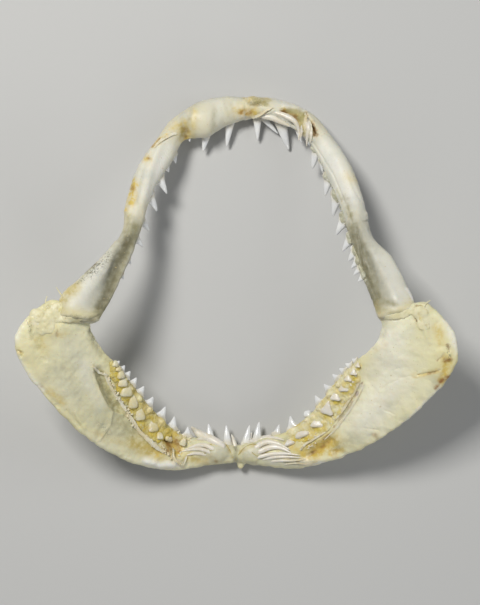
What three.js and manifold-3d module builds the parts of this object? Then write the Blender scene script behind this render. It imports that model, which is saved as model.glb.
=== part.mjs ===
// Jaws of a shortfin mako shark, dried and spread wide open, lying on their outer face.
// Millimetres, +Z up. The middle of the upper jaw is towards +Y and the middle of the lower jaw
// towards -Y. The tongue side faces up, and the four corners by the two middles touch the ground.

import * as THREE from 'three';
import { mergeVertices } from 'three/addons/utils/BufferGeometryUtils.js';
import Module from 'manifold-3d';

const wasm = await Module();
wasm.setup();

// Driving sizes.
const partingGap = 0.3;
const ringsPerHalf = 34;
const pointsPerRing = 18;
const upperMiddleX = 6;
const lowerMiddleX = 1;
const symphysisWidth = 6;
const capsuleWidth = 7;
const endRounding = 6;
const toothRoot = 3.6;
const originShift = new THREE.Vector3(-0.05, -0.15, 0);
const farAway = 400;

// Each half jaw is a bar between its tooth crest and its free border, from the middle to the joint.
// A station gives the crest point, the border point, then how far the bar swells on the tongue side
// and on the lip side, and how deep the tooth trough is.
// A tooth gives its place along the crest from 0 to 1, the height of its crown, how many degrees
// it leans towards the joint, and the width of its foot.
const halfJaws = {
  upper_jaw_left: {
    stations: [
      [[6, 126, 9], [6, 143, 13], 9, 11, 0],
      [[-8, 122, 9], [-11, 143.5, 14], 12, 12.2, 0],
      [[-24, 112.5, 11], [-29, 138.5, 18], 14, 13, 0],
      [[-41, 110, 16], [-45, 127, 23], 7, 10, 1],
      [[-50, 92, 24], [-61, 108, 31], 8, 8, 0],
      [[-60.5, 76, 32], [-75.5, 84, 41], 8, 8, 0],
      [[-68, 57, 42], [-81, 62, 51], 7, 8, 0],
      [[-72, 41, 51], [-83, 40, 60], 7, 9, 0],
      [[-77, 22, 62], [-94, 24, 70], 7, 9, 1],
      [[-87, -3, 77], [-114, 3, 83], 7, 9, 3],
      [[-96, -21, 85], [-129, -11, 89], 8, 9, 1],
      [[-100, -29, 88], [-131, -18, 91], 8, 8, 0],
    ],
    teeth: [
      [0.071, 18, 14, 7], [0.178, 11.5, 21, 6], [0.244, 3, 0, 4], [0.339, 6, 11, 6],
      [0.389, 3.5, 10, 5.5], [0.436, 13.5, 27, 9], [0.509, 12.5, 34, 9.5], [0.61, 9.5, 43, 8.5],
      [0.679, 7.5, 45, 6.5], [0.75, 3, 45, 4.5], [0.79, 2.5, 45, 4],
    ],
  },
  upper_jaw_right: {
    stations: [
      [[6, 126, 9], [6, 143, 13], 9, 11, 0],
      [[20, 128, 9], [21, 143, 14], 11, 12.2, 0],
      [[37, 123, 10], [40, 137.5, 17], 11, 13, 3],
      [[52, 115, 14], [55.5, 129, 21], 8, 12, 2],
      [[61.4, 101.6, 20], [68.5, 115, 27], 8, 9, 0],
      [[69.8, 80.6, 30], [83.5, 93.5, 38], 8, 8, 0],
      [[78, 59.6, 40], [92.5, 69, 48], 8, 8, 0],
      [[83, 41.6, 50], [96.5, 48, 57], 7, 9, 0],
      [[86.7, 28.6, 57], [101, 33, 65], 7, 9, 0],
      [[89.2, 17.8, 63], [112.8, 21, 72], 7, 9, 2],
      [[91.6, 7, 69], [119, 11, 76], 7, 9, 3],
      [[99, -12, 80], [129, -10, 86], 8, 9, 1],
      [[103, -26, 87], [131, -17, 90], 8, 8, 0],
    ],
    teeth: [
      [0.062, 18, 3, 7], [0.084, 18, 47, 5.5], [0.108, 21, 66, 5.5], [0.153, 23, 26, 9.5],
      [0.224, 10.5, 25, 5.5], [0.261, 8.5, 33, 5.5], [0.336, 14.5, 12, 8], [0.372, 8.5, 37, 6],
      [0.423, 13.5, 32, 9.5], [0.481, 15, 39, 10.5], [0.558, 13.5, 28, 11], [0.642, 11.5, 31, 10],
      [0.715, 8.5, 39, 8.5], [0.77, 7, 36, 7], [0.815, 6, 33, 6], [0.85, 4.5, 32, 5.5],
    ],
    fangs: { count: 2, from: 0.08, high: 22, across: 0.55 },
  },
  lower_jaw_left: {
    stations: [
      [[1, -126, 11], [1, -139, 11], 7, 8, 0],
      [[-19, -121, 11], [-22, -141, 11], 9, 11.5, 1],
      [[-41, -116.5, 18], [-48, -144, 18], 8, 10, 3],
      [[-58, -103, 29], [-77, -137.5, 34], 7, 8, 4],
      [[-74, -82, 45], [-109, -118, 57], 6, 7, 4],
      [[-88.5, -61.5, 61], [-136, -89, 77], 5.5, 6.5, 2],
      [[-102, -44.5, 74], [-157, -58, 91], 5.5, 6.5, 0],
      [[-106, -35, 80], [-160.5, -41, 95], 6, 7, 0],
      [[-106.5, -31, 83], [-152, -24.5, 96], 6.5, 7.5, 0],
      [[-107, -27, 85], [-137, -13, 95], 7, 8, 0],
    ],
    teeth: [
      [0.043, 14.5, 8, 7], [0.114, 12.5, 16, 7], [0.206, 7, 4, 7], [0.274, 9, 5, 8.5],
      [0.335, 9.5, -2, 9], [0.392, 7, -2, 8.5], [0.438, 6.5, 3, 7.5], [0.476, 6, 8, 7],
      [0.508, 5, 8, 6.5], [0.535, 4.5, 10, 6], [0.56, 3.5, 12, 5],
    ],
    waiting: { firstFile: 2, rows: 3 },
    fangs: { count: 4, from: 0.05, high: 22, across: 0.5 },
  },
  lower_jaw_right: {
    stations: [
      [[1, -126, 11], [1, -139, 11], 7, 8, 0],
      [[20, -120, 11], [22, -141.5, 11], 9, 11.5, 1],
      [[41, -113, 18], [47, -142.5, 18], 8, 10, 3],
      [[59, -97.5, 30], [79, -133, 34], 7, 8, 4],
      [[75.5, -73.5, 48], [111, -115, 58], 6, 7, 4],
      [[91, -56.5, 64], [142, -86, 79], 5.5, 6.5, 2],
      [[102, -45.5, 76], [159.5, -60, 92], 5.5, 6.5, 0],
      [[106, -35, 81], [159.5, -40, 95], 6, 7, 0],
      [[106, -31, 83.5], [151, -26, 96], 6.5, 7.5, 0],
      [[105, -27, 85], [140, -15.5, 95], 7, 8, 0],
    ],
    teeth: [
      [0.035, 15, 15, 7], [0.086, 14.5, 12, 7.5], [0.171, 8, 20, 6.5], [0.238, 9.5, -3, 9],
      [0.306, 6.5, 20, 8], [0.363, 7, -5, 8], [0.409, 6, -12, 7.5], [0.451, 5.5, -14, 7],
      [0.485, 5, -18, 6.5], [0.513, 4.5, -18, 6], [0.54, 3.5, -10, 5],
    ],
    waiting: { firstFile: 2, rows: 3 },
    fangs: { count: 4, from: 0.05, high: 22, across: 0.5 },
  },
};

// The dried ligament of each jaw joint: the hinge point, the way from the lower jaw to the upper,
// and the lumps of tissue, each with its radius.
const jawJoints = {
  left: {
    hinge: [-112, -25, 88],
    towardsUpper: [0.43, 0.9, 0],
    lumps: [[-128, -18, 92, 9], [-117, -23, 92, 9], [-109, -27, 88, 6]],
  },
  right: {
    hinge: [116, -21, 88],
    towardsUpper: [-0.2, 0.98, 0],
    lumps: [[131, -18, 92, 9], [121, -20, 92, 9], [113, -23, 88, 6]],
  },
};

// Pads of tissue over the seam of each jaw's middle.
const upperPad = [6, 134, 14, 9];
const lowerPads = [[1, -132.5, 12, 7.5], [3, -139, 9, 4.5]];

const up = new THREE.Vector3(0, 0, 1);
const vector = (list) => new THREE.Vector3(...list);
const smoothLine = (points) => new THREE.CatmullRomCurve3(points, false, 'centripetal');
const mix = THREE.MathUtils.lerp;

// The bar's frame at a share t of its length: its middle, its width, and the directions towards
// the crest, the joint and the tongue.
function barFrames(half) {
  const crest = smoothLine(half.stations.map((station) => vector(station[0])));
  const border = smoothLine(half.stations.map((station) => vector(station[1])));
  const swell = smoothLine(half.stations.map((station) => vector(station.slice(2))));
  const middleAt = (t) => crest.getPoint(t).add(border.getPoint(t)).multiplyScalar(0.5);
  const step = 0.01;
  return (t) => {
    const toCrest = crest.getPoint(t).sub(border.getPoint(t));
    const width = toCrest.length();
    toCrest.normalize();
    const along = middleAt(Math.min(t + step, 1)).sub(middleAt(Math.max(t - step, 0)));
    const toTongue = new THREE.Vector3().crossVectors(toCrest, along).normalize();
    if (toTongue.z < 0) toTongue.negate();
    const toJoint = along.addScaledVector(toCrest, -along.dot(toCrest)).normalize();
    const [tongueSwell, lipSwell, trough] = swell.getPoint(t).toArray();
    return { middle: middleAt(t), width, toCrest, toJoint, toTongue, tongueSwell, lipSwell, trough };
  };
}

// The bar's section: how high it stands at a place from the border (-1) to the crest (1).
const sectionFullness = 0.8;
const troughPlace = 0.42;
const troughSpread = 0.3;
const crownOf = (across) => Math.sqrt(Math.max(0, 1 - across * across)) ** sectionFullness;

function tongueHeight(frame, across) {
  const dip = Math.exp(-(((across - troughPlace) / troughSpread) ** 2));
  return frame.tongueSwell * crownOf(across) - frame.trough * dip * crownOf(across);
}

function tonguePoint(frame, across) {
  return frame.middle.clone()
    .addScaledVector(frame.toCrest, (across * frame.width) / 2)
    .addScaledVector(frame.toTongue, tongueHeight(frame, across));
}

// One ring of the bar, shrunk about its middle and moved on towards the joint.
function barRing(frame, shrink, advance) {
  return Array.from({ length: pointsPerRing }, (_, i) => {
    const turn = (2 * Math.PI * i) / pointsPerRing;
    const across = Math.cos(turn);
    const onTongueSide = Math.sin(turn) >= 0;
    const height = onTongueSide ? tongueHeight(frame, across) : -frame.lipSwell * crownOf(across);
    return frame.middle.clone()
      .addScaledVector(frame.toCrest, (shrink * across * frame.width) / 2)
      .addScaledVector(frame.toTongue, shrink * height)
      .addScaledVector(frame.toJoint, advance);
  });
}

// A closed surface through rings of equally many points, with both ends closed by a fan.
function skin(rings) {
  const count = rings[0].length;
  const position = rings.flat().flatMap((point) => point.toArray());
  const index = [];
  for (let r = 0; r + 1 < rings.length; r += 1) {
    for (let i = 0; i < count; i += 1) {
      const here = r * count + i;
      const next = r * count + ((i + 1) % count);
      index.push(here, next, next + count, here, next + count, here + count);
    }
  }
  for (const ring of [0, rings.length - 1]) {
    const centre = new THREE.Vector3();
    rings[ring].forEach((point) => centre.addScaledVector(point, 1 / count));
    const middle = position.length / 3;
    position.push(...centre.toArray());
    for (let i = 0; i < count; i += 1) {
      const edge = [ring * count + i, ring * count + ((i + 1) % count)];
      if (ring === 0) edge.reverse();
      index.push(...edge, middle);
    }
  }
  const geometry = new THREE.BufferGeometry();
  geometry.setAttribute('position', new THREE.Float32BufferAttribute(position, 3));
  geometry.setIndex(index);
  return geometry;
}

// A closed mesh as a solid, turned the right way out.
function solidOf(geometry) {
  geometry.deleteAttribute('normal');
  geometry.deleteAttribute('uv');
  const merged = mergeVertices(geometry, 1e-4);
  const triVerts = new Uint32Array(merged.index.array);
  const vertProperties = merged.attributes.position.array;
  const made = new wasm.Manifold(new wasm.Mesh({ numProp: 3, vertProperties, triVerts }));
  if (made.volume() > 0) return made;
  for (let i = 0; i < triVerts.length; i += 3) {
    [triVerts[i + 1], triVerts[i + 2]] = [triVerts[i + 2], triVerts[i + 1]];
  }
  return new wasm.Manifold(new wasm.Mesh({ numProp: 3, vertProperties, triVerts }));
}

const joined = (solids) => solids.reduce((whole, solid) => whole.add(solid));

function largestBody(solid) {
  return solid.decompose().reduce((a, b) => (a.volume() > b.volume() ? a : b));
}

// Everything beyond a plane: a big box whose near face passes through the point.
function beyond(point, direction) {
  const box = new THREE.BoxGeometry(farAway, farAway, farAway);
  const way = direction.clone().normalize();
  const turn = new THREE.Quaternion().setFromUnitVectors(up, way);
  const centre = point.clone().addScaledVector(way, farAway / 2);
  box.applyMatrix4(new THREE.Matrix4().compose(centre, turn, new THREE.Vector3(1, 1, 1)));
  return solidOf(box);
}

function barSolid(half) {
  const frameAt = barFrames(half);
  const rings = [barRing(frameAt(0), 1, -symphysisWidth)];
  for (let r = 0; r <= ringsPerHalf; r += 1) rings.push(barRing(frameAt(r / ringsPerHalf), 1, 0));
  for (const turn of [0.4, 0.8, 1.2]) {
    rings.push(barRing(frameAt(1), Math.cos(turn), endRounding * Math.sin(turn)));
  }
  return solidOf(skin(rings));
}

// A tooth on the origin: its crown along +Z, bent a little towards -Y, and its root below.
// A front tooth is a slender fang and a side tooth is a broad blade.
const fangShape = [[-0.9, 0.8], [-0.1, 1.05], [0.3, 0.82], [0.66, 0.54], [1, 0.08]];
const bladeShape = [[-0.9, 0.8], [-0.15, 1.1], [0.4, 0.58], [1, 0.08]];

function toothGeometry({ high, wide, root, slender }) {
  const shape = slender ? fangShape : bladeShape;
  const sides = slender ? 6 : 5;
  const thick = slender ? 0.75 * wide : 0.4 * wide + 0.8;
  const bend = 0.07 * high;
  const rings = shape.map(([level, girth]) => {
    const z = level < 0 ? level * root : level * high;
    const lean = level > 0 ? -bend * level * level : 0;
    return Array.from({ length: sides }, (_, i) => {
      const turn = (2 * Math.PI * (i + 0.5)) / sides;
      const x = (Math.cos(turn) * girth * wide) / 2;
      const y = (Math.sin(turn) * girth * thick) / 2 + lean;
      return new THREE.Vector3(x, y, z);
    });
  });
  return skin(rings);
}

// A tooth set at a point, with its crown pointing one way and its inner face turned another.
function setTooth(size, point, crownWay, innerWay) {
  const z = crownWay.clone().normalize();
  const y = innerWay.clone().addScaledVector(z, -innerWay.dot(z)).normalize();
  const x = new THREE.Vector3().crossVectors(y, z);
  const place = new THREE.Matrix4().makeBasis(x, y, z).setPosition(point);
  return solidOf(toothGeometry(size).applyMatrix4(place));
}

// The working teeth stand on the crest. Each leans in the plane of the mouth, and dips towards
// the lips by half of the bar's own slope.
const slenderRatio = 0.62;

function workingTeeth(half) {
  const frameAt = barFrames(half);
  return half.teeth.map(([at, high, lean, wide]) => {
    const frame = frameAt(at);
    const flat = frame.toCrest.clone().setZ(0).normalize();
    const turnsLeft = new THREE.Vector3().crossVectors(flat, frame.toJoint).z > 0;
    const angle = THREE.MathUtils.degToRad(turnsLeft ? lean : -lean);
    const slope = frame.toCrest.z / Math.hypot(frame.toCrest.x, frame.toCrest.y);
    const crownWay = flat.applyAxisAngle(up, angle).setZ(slope / 2);
    const foot = frame.middle.clone().addScaledVector(frame.toCrest, frame.width / 2 - 0.6);
    const size = { high: high + 0.6, wide, root: toothRoot, slender: wide < slenderRatio * high };
    return setTooth(size, foot, crownWay, frame.toTongue);
  });
}

// Rows of unused teeth behind the working side teeth, staggered from file to file in the trough.
function waitingTeeth(half) {
  const frameAt = barFrames(half);
  const files = half.teeth.slice(half.waiting.firstFile);
  return files.flatMap(([at, , , wide], file) => {
    const frame = frameAt(at);
    const rowStep = 0.72 * wide;
    const stagger = (file % 2) * 0.4;
    return Array.from({ length: half.waiting.rows }, (_, row) => {
      const behind = 2 + (row + 0.6 + stagger) * rowStep;
      const across = 1 - (2 * behind) / frame.width;
      const crownWay = frame.toCrest.clone().addScaledVector(frame.toTongue, 0.5);
      const size = { high: 0.85 * wide, wide: 0.85 * wide, root: 2.8, slender: false };
      return setTooth(size, tonguePoint(frame, across), crownWay, frame.toTongue);
    });
  });
}

// Long front teeth still lying flat in their pocket, their tips pointing away from the middle.
const fangLift = 0.9;
const fangSpacing = 0.36;

function lyingFangs(half) {
  const frameAt = barFrames(half);
  const { count, from, high, across } = half.fangs;
  return Array.from({ length: count }, (_, i) => {
    const frame = frameAt(from + 0.014 * i);
    const point = tonguePoint(frame, across - fangSpacing * i).addScaledVector(frame.toTongue, fangLift);
    const crownWay = frame.toJoint.clone().addScaledVector(frame.toCrest, mix(0.25, -0.1, i / count));
    const size = { high: high - 2 * i, wide: 5.6, root: 3, slender: true };
    return setTooth(size, point, crownWay, frame.toCrest);
  });
}

function lump([x, y, z, radius]) {
  const ball = new THREE.SphereGeometry(radius, 14, 9);
  ball.scale(1, 1, 0.75);
  ball.translate(x, y, z);
  return solidOf(ball);
}

// The middle piece of a jaw is a slice through both halves, with the pads of tissue over the seam.
function middlePiece(left, right, x, pads) {
  const halfWidth = symphysisWidth / 2;
  const rightWay = new THREE.Vector3(1, 0, 0);
  return joined([left, right, ...pads.map(lump)])
    .intersect(beyond(new THREE.Vector3(x - halfWidth, 0, 0), rightWay))
    .intersect(beyond(new THREE.Vector3(x + halfWidth, 0, 0), rightWay.clone().negate()));
}

function capsulePiece(joint, upper, lower) {
  const way = vector(joint.towardsUpper).normalize();
  const faceAt = (distance) => vector(joint.hinge).addScaledVector(way, distance);
  return joined([upper, lower, ...joint.lumps.map(lump)])
    .intersect(beyond(faceAt(-capsuleWidth / 2), way))
    .intersect(beyond(faceAt(capsuleWidth / 2), way.clone().negate()));
}

// A half jaw with its teeth, cut off short of the middle piece and of the joint's capsule.
function halfJawPiece(half, bar, middleX, outwards, joint, towardsBar) {
  const growths = [...workingTeeth(half)];
  if (half.waiting) growths.push(...waitingTeeth(half));
  if (half.fangs) growths.push(...lyingFangs(half));
  const middleCut = new THREE.Vector3(middleX, 0, 0)
    .addScaledVector(outwards, symphysisWidth / 2 + partingGap);
  const jointCut = vector(joint.hinge).addScaledVector(towardsBar, capsuleWidth / 2 + partingGap);
  return joined([bar, ...growths])
    .intersect(beyond(middleCut, outwards))
    .intersect(beyond(jointCut, towardsBar));
}

const bars = {};
for (const [name, half] of Object.entries(halfJaws)) bars[name] = barSolid(half);

const pieces = {
  upper_symphysis: middlePiece(bars.upper_jaw_left, bars.upper_jaw_right, upperMiddleX, [upperPad]),
  lower_symphysis: middlePiece(bars.lower_jaw_left, bars.lower_jaw_right, lowerMiddleX, lowerPads),
};
for (const [side, joint] of Object.entries(jawJoints)) {
  const upperName = `upper_jaw_${side}`;
  const lowerName = `lower_jaw_${side}`;
  const outwards = new THREE.Vector3(side === 'left' ? -1 : 1, 0, 0);
  const upperWay = vector(joint.towardsUpper).normalize();
  const lowerWay = upperWay.clone().negate();
  pieces[upperName] = halfJawPiece(
    halfJaws[upperName], bars[upperName], upperMiddleX, outwards, joint, upperWay);
  pieces[lowerName] = halfJawPiece(
    halfJaws[lowerName], bars[lowerName], lowerMiddleX, outwards, joint, lowerWay);
  pieces[`joint_capsule_${side}`] = capsulePiece(joint, bars[upperName], bars[lowerName]);
}

const cartilage = new THREE.MeshStandardMaterial({ color: 0xe2dcc2, roughness: 0.5, metalness: 0 });
const ligament = new THREE.MeshStandardMaterial({ color: 0xd9cd9c, roughness: 0.6, metalness: 0 });

// Each piece is worn flat where it meets the ground, and keeps its one largest body.
const aboveGround = beyond(new THREE.Vector3(0, 0, 0), up);

function meshOf(name, solid) {
  const { vertProperties, triVerts } = largestBody(solid.intersect(aboveGround)).getMesh();
  const geometry = new THREE.BufferGeometry();
  geometry.setAttribute('position', new THREE.BufferAttribute(vertProperties, 3));
  geometry.setIndex(new THREE.BufferAttribute(triVerts, 1));
  geometry.computeVertexNormals();
  const mesh = new THREE.Mesh(geometry, name.includes('jaw') ? cartilage : ligament);
  mesh.name = name;
  mesh.position.copy(originShift);
  return mesh;
}

const sharkJaws = new THREE.Group();
for (const [name, solid] of Object.entries(pieces)) sharkJaws.add(meshOf(name, solid));

export default sharkJaws;
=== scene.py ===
import bmesh
import bpy
import math
import numpy as np
import random
from mathutils import Matrix, Vector
from mathutils.bvhtree import BVHTree


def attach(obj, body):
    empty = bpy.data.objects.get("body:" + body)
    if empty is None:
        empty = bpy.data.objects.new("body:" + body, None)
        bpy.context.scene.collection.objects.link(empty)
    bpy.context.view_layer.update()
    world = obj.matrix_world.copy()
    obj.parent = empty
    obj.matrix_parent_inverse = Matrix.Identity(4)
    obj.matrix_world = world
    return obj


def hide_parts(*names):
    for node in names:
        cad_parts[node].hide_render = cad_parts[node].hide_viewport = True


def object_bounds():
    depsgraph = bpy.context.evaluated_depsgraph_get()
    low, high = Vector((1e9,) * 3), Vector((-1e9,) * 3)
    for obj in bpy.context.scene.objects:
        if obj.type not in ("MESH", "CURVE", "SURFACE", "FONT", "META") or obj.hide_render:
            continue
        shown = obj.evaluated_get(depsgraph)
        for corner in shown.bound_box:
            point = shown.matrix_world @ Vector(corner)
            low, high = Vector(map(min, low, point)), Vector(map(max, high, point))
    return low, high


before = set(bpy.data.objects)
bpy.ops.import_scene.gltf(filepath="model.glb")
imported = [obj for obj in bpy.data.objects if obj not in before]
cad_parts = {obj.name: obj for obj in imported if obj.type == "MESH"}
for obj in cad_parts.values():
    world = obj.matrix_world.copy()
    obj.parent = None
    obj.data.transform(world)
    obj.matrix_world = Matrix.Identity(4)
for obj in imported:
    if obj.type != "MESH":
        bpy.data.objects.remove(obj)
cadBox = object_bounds()
mm = 0.001
chance = random.Random(31)
print("frame loaded")

# Camera: straight above the jaws, at the photo's framing. Photo places are pixels of its 480 x 605 frame.
cameraView = {
    "place": (0.00285, -0.01525, 1.31),
    "lens": 100,
    "sensor": 36,
    "pixelsWide": 480,
    "pixelsHigh": 605,
}
pixelAngle = cameraView["sensor"] / cameraView["lens"] / cameraView["pixelsHigh"]


def toPhoto(points):
    depth = (cameraView["place"][2] - points[:, 2]) * pixelAngle
    across = cameraView["pixelsWide"] / 2 + (points[:, 0] - cameraView["place"][0]) / depth
    down = cameraView["pixelsHigh"] / 2 - (points[:, 1] - cameraView["place"][1]) / depth
    return np.stack([across, down], axis=1)


def photoRay(spot):
    across = (spot[0] - cameraView["pixelsWide"] / 2) * pixelAngle
    down = (cameraView["pixelsHigh"] / 2 - spot[1]) * pixelAngle
    return Vector(cameraView["place"]), Vector((across, down, -1)).normalized()


# Each half jaw is a bar between its tooth crest and its free border, from the middle to the joint, in mm.
# A station is crest point, border point, swell to the tongue side and to the lip side, depth of the trough.
# A tooth is its share of the crest, crown height, lean towards the joint in degrees and width of the foot,
# and its model where its proportions don't choose that.
halfJaws = {
    "upperLeft": {
        "stations": [
            [(6, 126, 9), (6, 143, 13), 8, 11, 0],
            [(-8, 122, 9), (-11, 143.5, 14), 11, 12.2, 0],
            [(-24, 112.5, 11), (-29, 138.5, 18), 14, 13, 0],
            [(-41, 110, 16), (-45, 127, 23), 6.5, 10, 1],
            [(-50, 92, 24), (-61, 108, 31), 7, 8, 0],
            [(-60.5, 76, 32), (-75.5, 84, 41), 7, 8, 0],
            [(-68, 57, 42), (-81, 62, 51), 7, 8, 0],
            [(-72, 41, 51), (-83, 40, 60), 7, 9, 0],
            [(-77, 22, 62), (-94, 24, 70), 7, 9, 1],
            [(-87, -3, 77), (-114, 3, 83), 7, 9, 3],
            [(-96, -21, 85), (-128, -11, 89), 8, 9, 2],
            [(-99.6, -28, 88), (-129, -24, 91.5), 7, 8, 0],
        ],
        "teeth": [
            (0.071, 18, 14, 7), (0.178, 11.5, 21, 6.4), (0.244, 3, 0, 4), (0.339, 6, 11, 6),
            (0.389, 3.5, 10, 5.5), (0.436, 13.5, 27, 9), (0.509, 12.5, 34, 9.5), (0.61, 9.5, 43, 8.5),
            (0.679, 7.5, 45, 6.5), (0.75, 3, 45, 4.5), (0.79, 2.5, 45, 4),
        ],
    },
    "upperRight": {
        "stations": [
            [(6, 126, 9), (6, 143, 13), 8, 11, 0],
            [(20, 128, 9), (21, 143, 14), 10, 12.2, 0],
            [(37, 123, 10), (40, 137.5, 17), 10, 13, 3],
            [(52, 115, 14), (55.5, 129, 21), 8, 12, 2],
            [(61.4, 101.6, 20), (68.5, 115, 27), 7, 9, 0],
            [(69.8, 80.6, 30), (83.5, 93.5, 38), 7, 8, 0],
            [(78, 59.6, 40), (92.5, 69, 48), 7, 8, 0],
            [(83, 41.6, 50), (96.5, 48, 57), 7, 9, 0],
            [(86.7, 28.6, 57), (101, 33, 65), 7, 9, 0],
            [(89.2, 17.8, 63), (112.8, 21, 72), 7, 9, 2],
            [(91.6, 7, 69), (119, 11, 76), 7, 9, 3.5],
            [(99, -12, 80), (128, -10, 86), 8, 9, 2],
            [(103, -26, 87), (130, -19, 90), 7, 8, 0],
        ],
        "teeth": [
            (0.062, 18, 3, 7), (0.084, 18, 47, 5.5), (0.153, 23, 26, 9.5), (0.224, 10.5, 25, 5.5),
            (0.261, 8.5, 33, 5.5), (0.336, 14.5, 12, 8), (0.372, 8.5, 37, 6), (0.423, 13.5, 32, 9.5),
            (0.481, 15, 39, 10.5), (0.558, 13.5, 28, 11), (0.642, 11.5, 31, 10), (0.715, 8.5, 39, 8.5),
            (0.77, 7, 36, 7), (0.815, 6, 33, 6), (0.85, 4.5, 32, 5.5),
        ],
    },
    "lowerLeft": {
        "stations": [
            [(1, -126, 11), (1, -139, 11), 6.5, 8, 0],
            [(-19, -121, 11), (-22, -141, 11), 9, 11.5, 1],
            [(-41, -116.5, 18), (-48, -144, 18), 8, 10, 3],
            [(-58, -103, 29), (-77, -137.5, 34), 7, 8, 4],
            [(-74, -82, 45), (-109, -118, 57), 6, 7, 4],
            [(-88.5, -61.5, 61), (-136, -89, 77), 5.5, 6.5, 2.5],
            [(-102, -44.5, 74), (-157, -58, 91), 5.5, 6.5, 0],
            [(-106, -35, 80), (-160, -41, 95), 5.5, 7, 0],
            [(-106.5, -31, 82), (-151, -25.5, 95), 5, 7.5, 0],
            [(-107, -27, 84), (-137, -14.5, 94), 4.5, 8, 0],
        ],
        "teeth": [
            (0.043, 14.5, 8, 7), (0.114, 12.5, 16, 7), (0.206, 7, 4, 7), (0.274, 9, 5, 8.5),
            (0.335, 9.5, -2, 9), (0.392, 7, -2, 8.5), (0.438, 6.5, 3, 7.5), (0.476, 6, 8, 7),
            (0.508, 5, 8, 6.5), (0.535, 4.5, 10, 6), (0.56, 3.5, 12, 5),
        ],
    },
    "lowerRight": {
        "stations": [
            [(1, -126, 11), (1, -139, 11), 6.5, 8, 0],
            [(20, -120, 11), (22, -141.5, 11), 9, 11.5, 1],
            [(41, -113, 18), (47, -142.5, 18), 8, 10, 3],
            [(59, -97.5, 30), (79, -133, 34), 7, 8, 4],
            [(75.5, -73.5, 48), (111, -115, 58), 6, 7, 4],
            [(91, -56.5, 64), (142, -86, 79), 5.5, 6.5, 2.5],
            [(102, -45.5, 76), (159.5, -60, 92), 5.5, 6.5, 0],
            [(106, -35, 81), (159, -40, 95), 5.5, 7, 0],
            [(106, -31, 83), (150.5, -26.5, 95), 5, 7.5, 0],
            [(105, -27, 84.5), (140, -16.5, 94), 4.5, 8, 0],
        ],
        "teeth": [
            (0.035, 15, 15, 7), (0.086, 14.5, 12, 7.5), (0.171, 8, 20, 6.5), (0.238, 9.5, -3, 9),
            (0.306, 4.6, 20, 6.4, "block"), (0.363, 7, -5, 8), (0.409, 6, -12, 7.5), (0.451, 5.5, -14, 7),
            (0.485, 5, -18, 6.5), (0.513, 4.5, -18, 6), (0.54, 3.5, -10, 5),
        ],
    },
}
originShift = np.array((-0.05, -0.15, 0))


def alongCurve(points, share):
    # A smooth centripetal curve through the points; share runs evenly over the spans between them.
    points = np.asarray(points, float)
    spans = len(points) - 1
    span = min(int(share * spans), spans - 1)
    local = share * spans - span
    ends = np.vstack([2 * points[0] - points[1], points, 2 * points[-1] - points[-2]])
    a, b, c, d = ends[span:span + 4]
    first, middle, last = (max(np.linalg.norm(q - p) ** 0.5, 1e-4) for p, q in ((a, b), (b, c), (c, d)))
    leave = ((b - a) / first - (c - a) / (first + middle) + (c - b) / middle) * middle
    arrive = ((c - b) / middle - (d - b) / (middle + last) + (d - c) / last) * middle
    square = local * local
    cube = square * local
    return (
        b * (2 * cube - 3 * square + 1) + leave * (cube - 2 * square + local)
        + c * (3 * square - 2 * cube) + arrive * (cube - square)
    )


def unit(v):
    return v / np.linalg.norm(v)


def barFrame(half, share):
    crestLine = [s[0] for s in half["stations"]]
    borderLine = [s[1] for s in half["stations"]]
    swellLine = [s[2:] for s in half["stations"]]

    def middleAt(t):
        return (alongCurve(crestLine, t) + alongCurve(borderLine, t)) / 2

    toCrest = alongCurve(crestLine, share) - alongCurve(borderLine, share)
    width = np.linalg.norm(toCrest)
    toCrest = toCrest / width
    along = middleAt(min(share + 0.01, 1)) - middleAt(max(share - 0.01, 0))
    toTongue = unit(np.cross(toCrest, along))
    if toTongue[2] < 0:
        toTongue = -toTongue
    toJoint = unit(along - toCrest * (along @ toCrest))
    tongueSwell, lipSwell, trough = alongCurve(swellLine, share)
    return {
        "middle": middleAt(share) + originShift, "width": width, "toCrest": toCrest, "toJoint": toJoint,
        "toTongue": toTongue, "tongueSwell": tongueSwell, "lipSwell": lipSwell, "trough": trough,
    }


# The trough runs along the bar, at a share of its half width from the middle towards the crest.
troughShape = {"across": 0.42, "width": 0.3}


def crownOf(across):
    # The rounding of a bar's face from its middle, 0, to its edges, -1 and 1.
    return max(0, 1 - across * across) ** 0.4


def tongueHeight(bar, across):
    dip = math.exp(-(((across - troughShape["across"]) / troughShape["width"]) ** 2))
    return crownOf(across) * (bar["tongueSwell"] - bar["trough"] * dip)


def tonguePoint(bar, across, lift=0):
    return (
        bar["middle"] + bar["toCrest"] * across * bar["width"] / 2
        + bar["toTongue"] * (tongueHeight(bar, across) + lift)
    )


def barRing(bar, sides, shrink=1, advance=0):
    ring = []
    for i in range(sides):
        turn = 2 * math.pi * i / sides
        across = math.cos(turn)
        height = tongueHeight(bar, across) if math.sin(turn) >= 0 else -bar["lipSwell"] * crownOf(across)
        ring.append(
            (bar["middle"] + bar["toCrest"] * across * shrink * bar["width"] / 2
             + bar["toTongue"] * height * shrink + bar["toJoint"] * advance) * mm
        )
    return ring


# Modelling steps.


def nothingSelected():
    bpy.ops.object.select_all(action="DESELECT")


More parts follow.
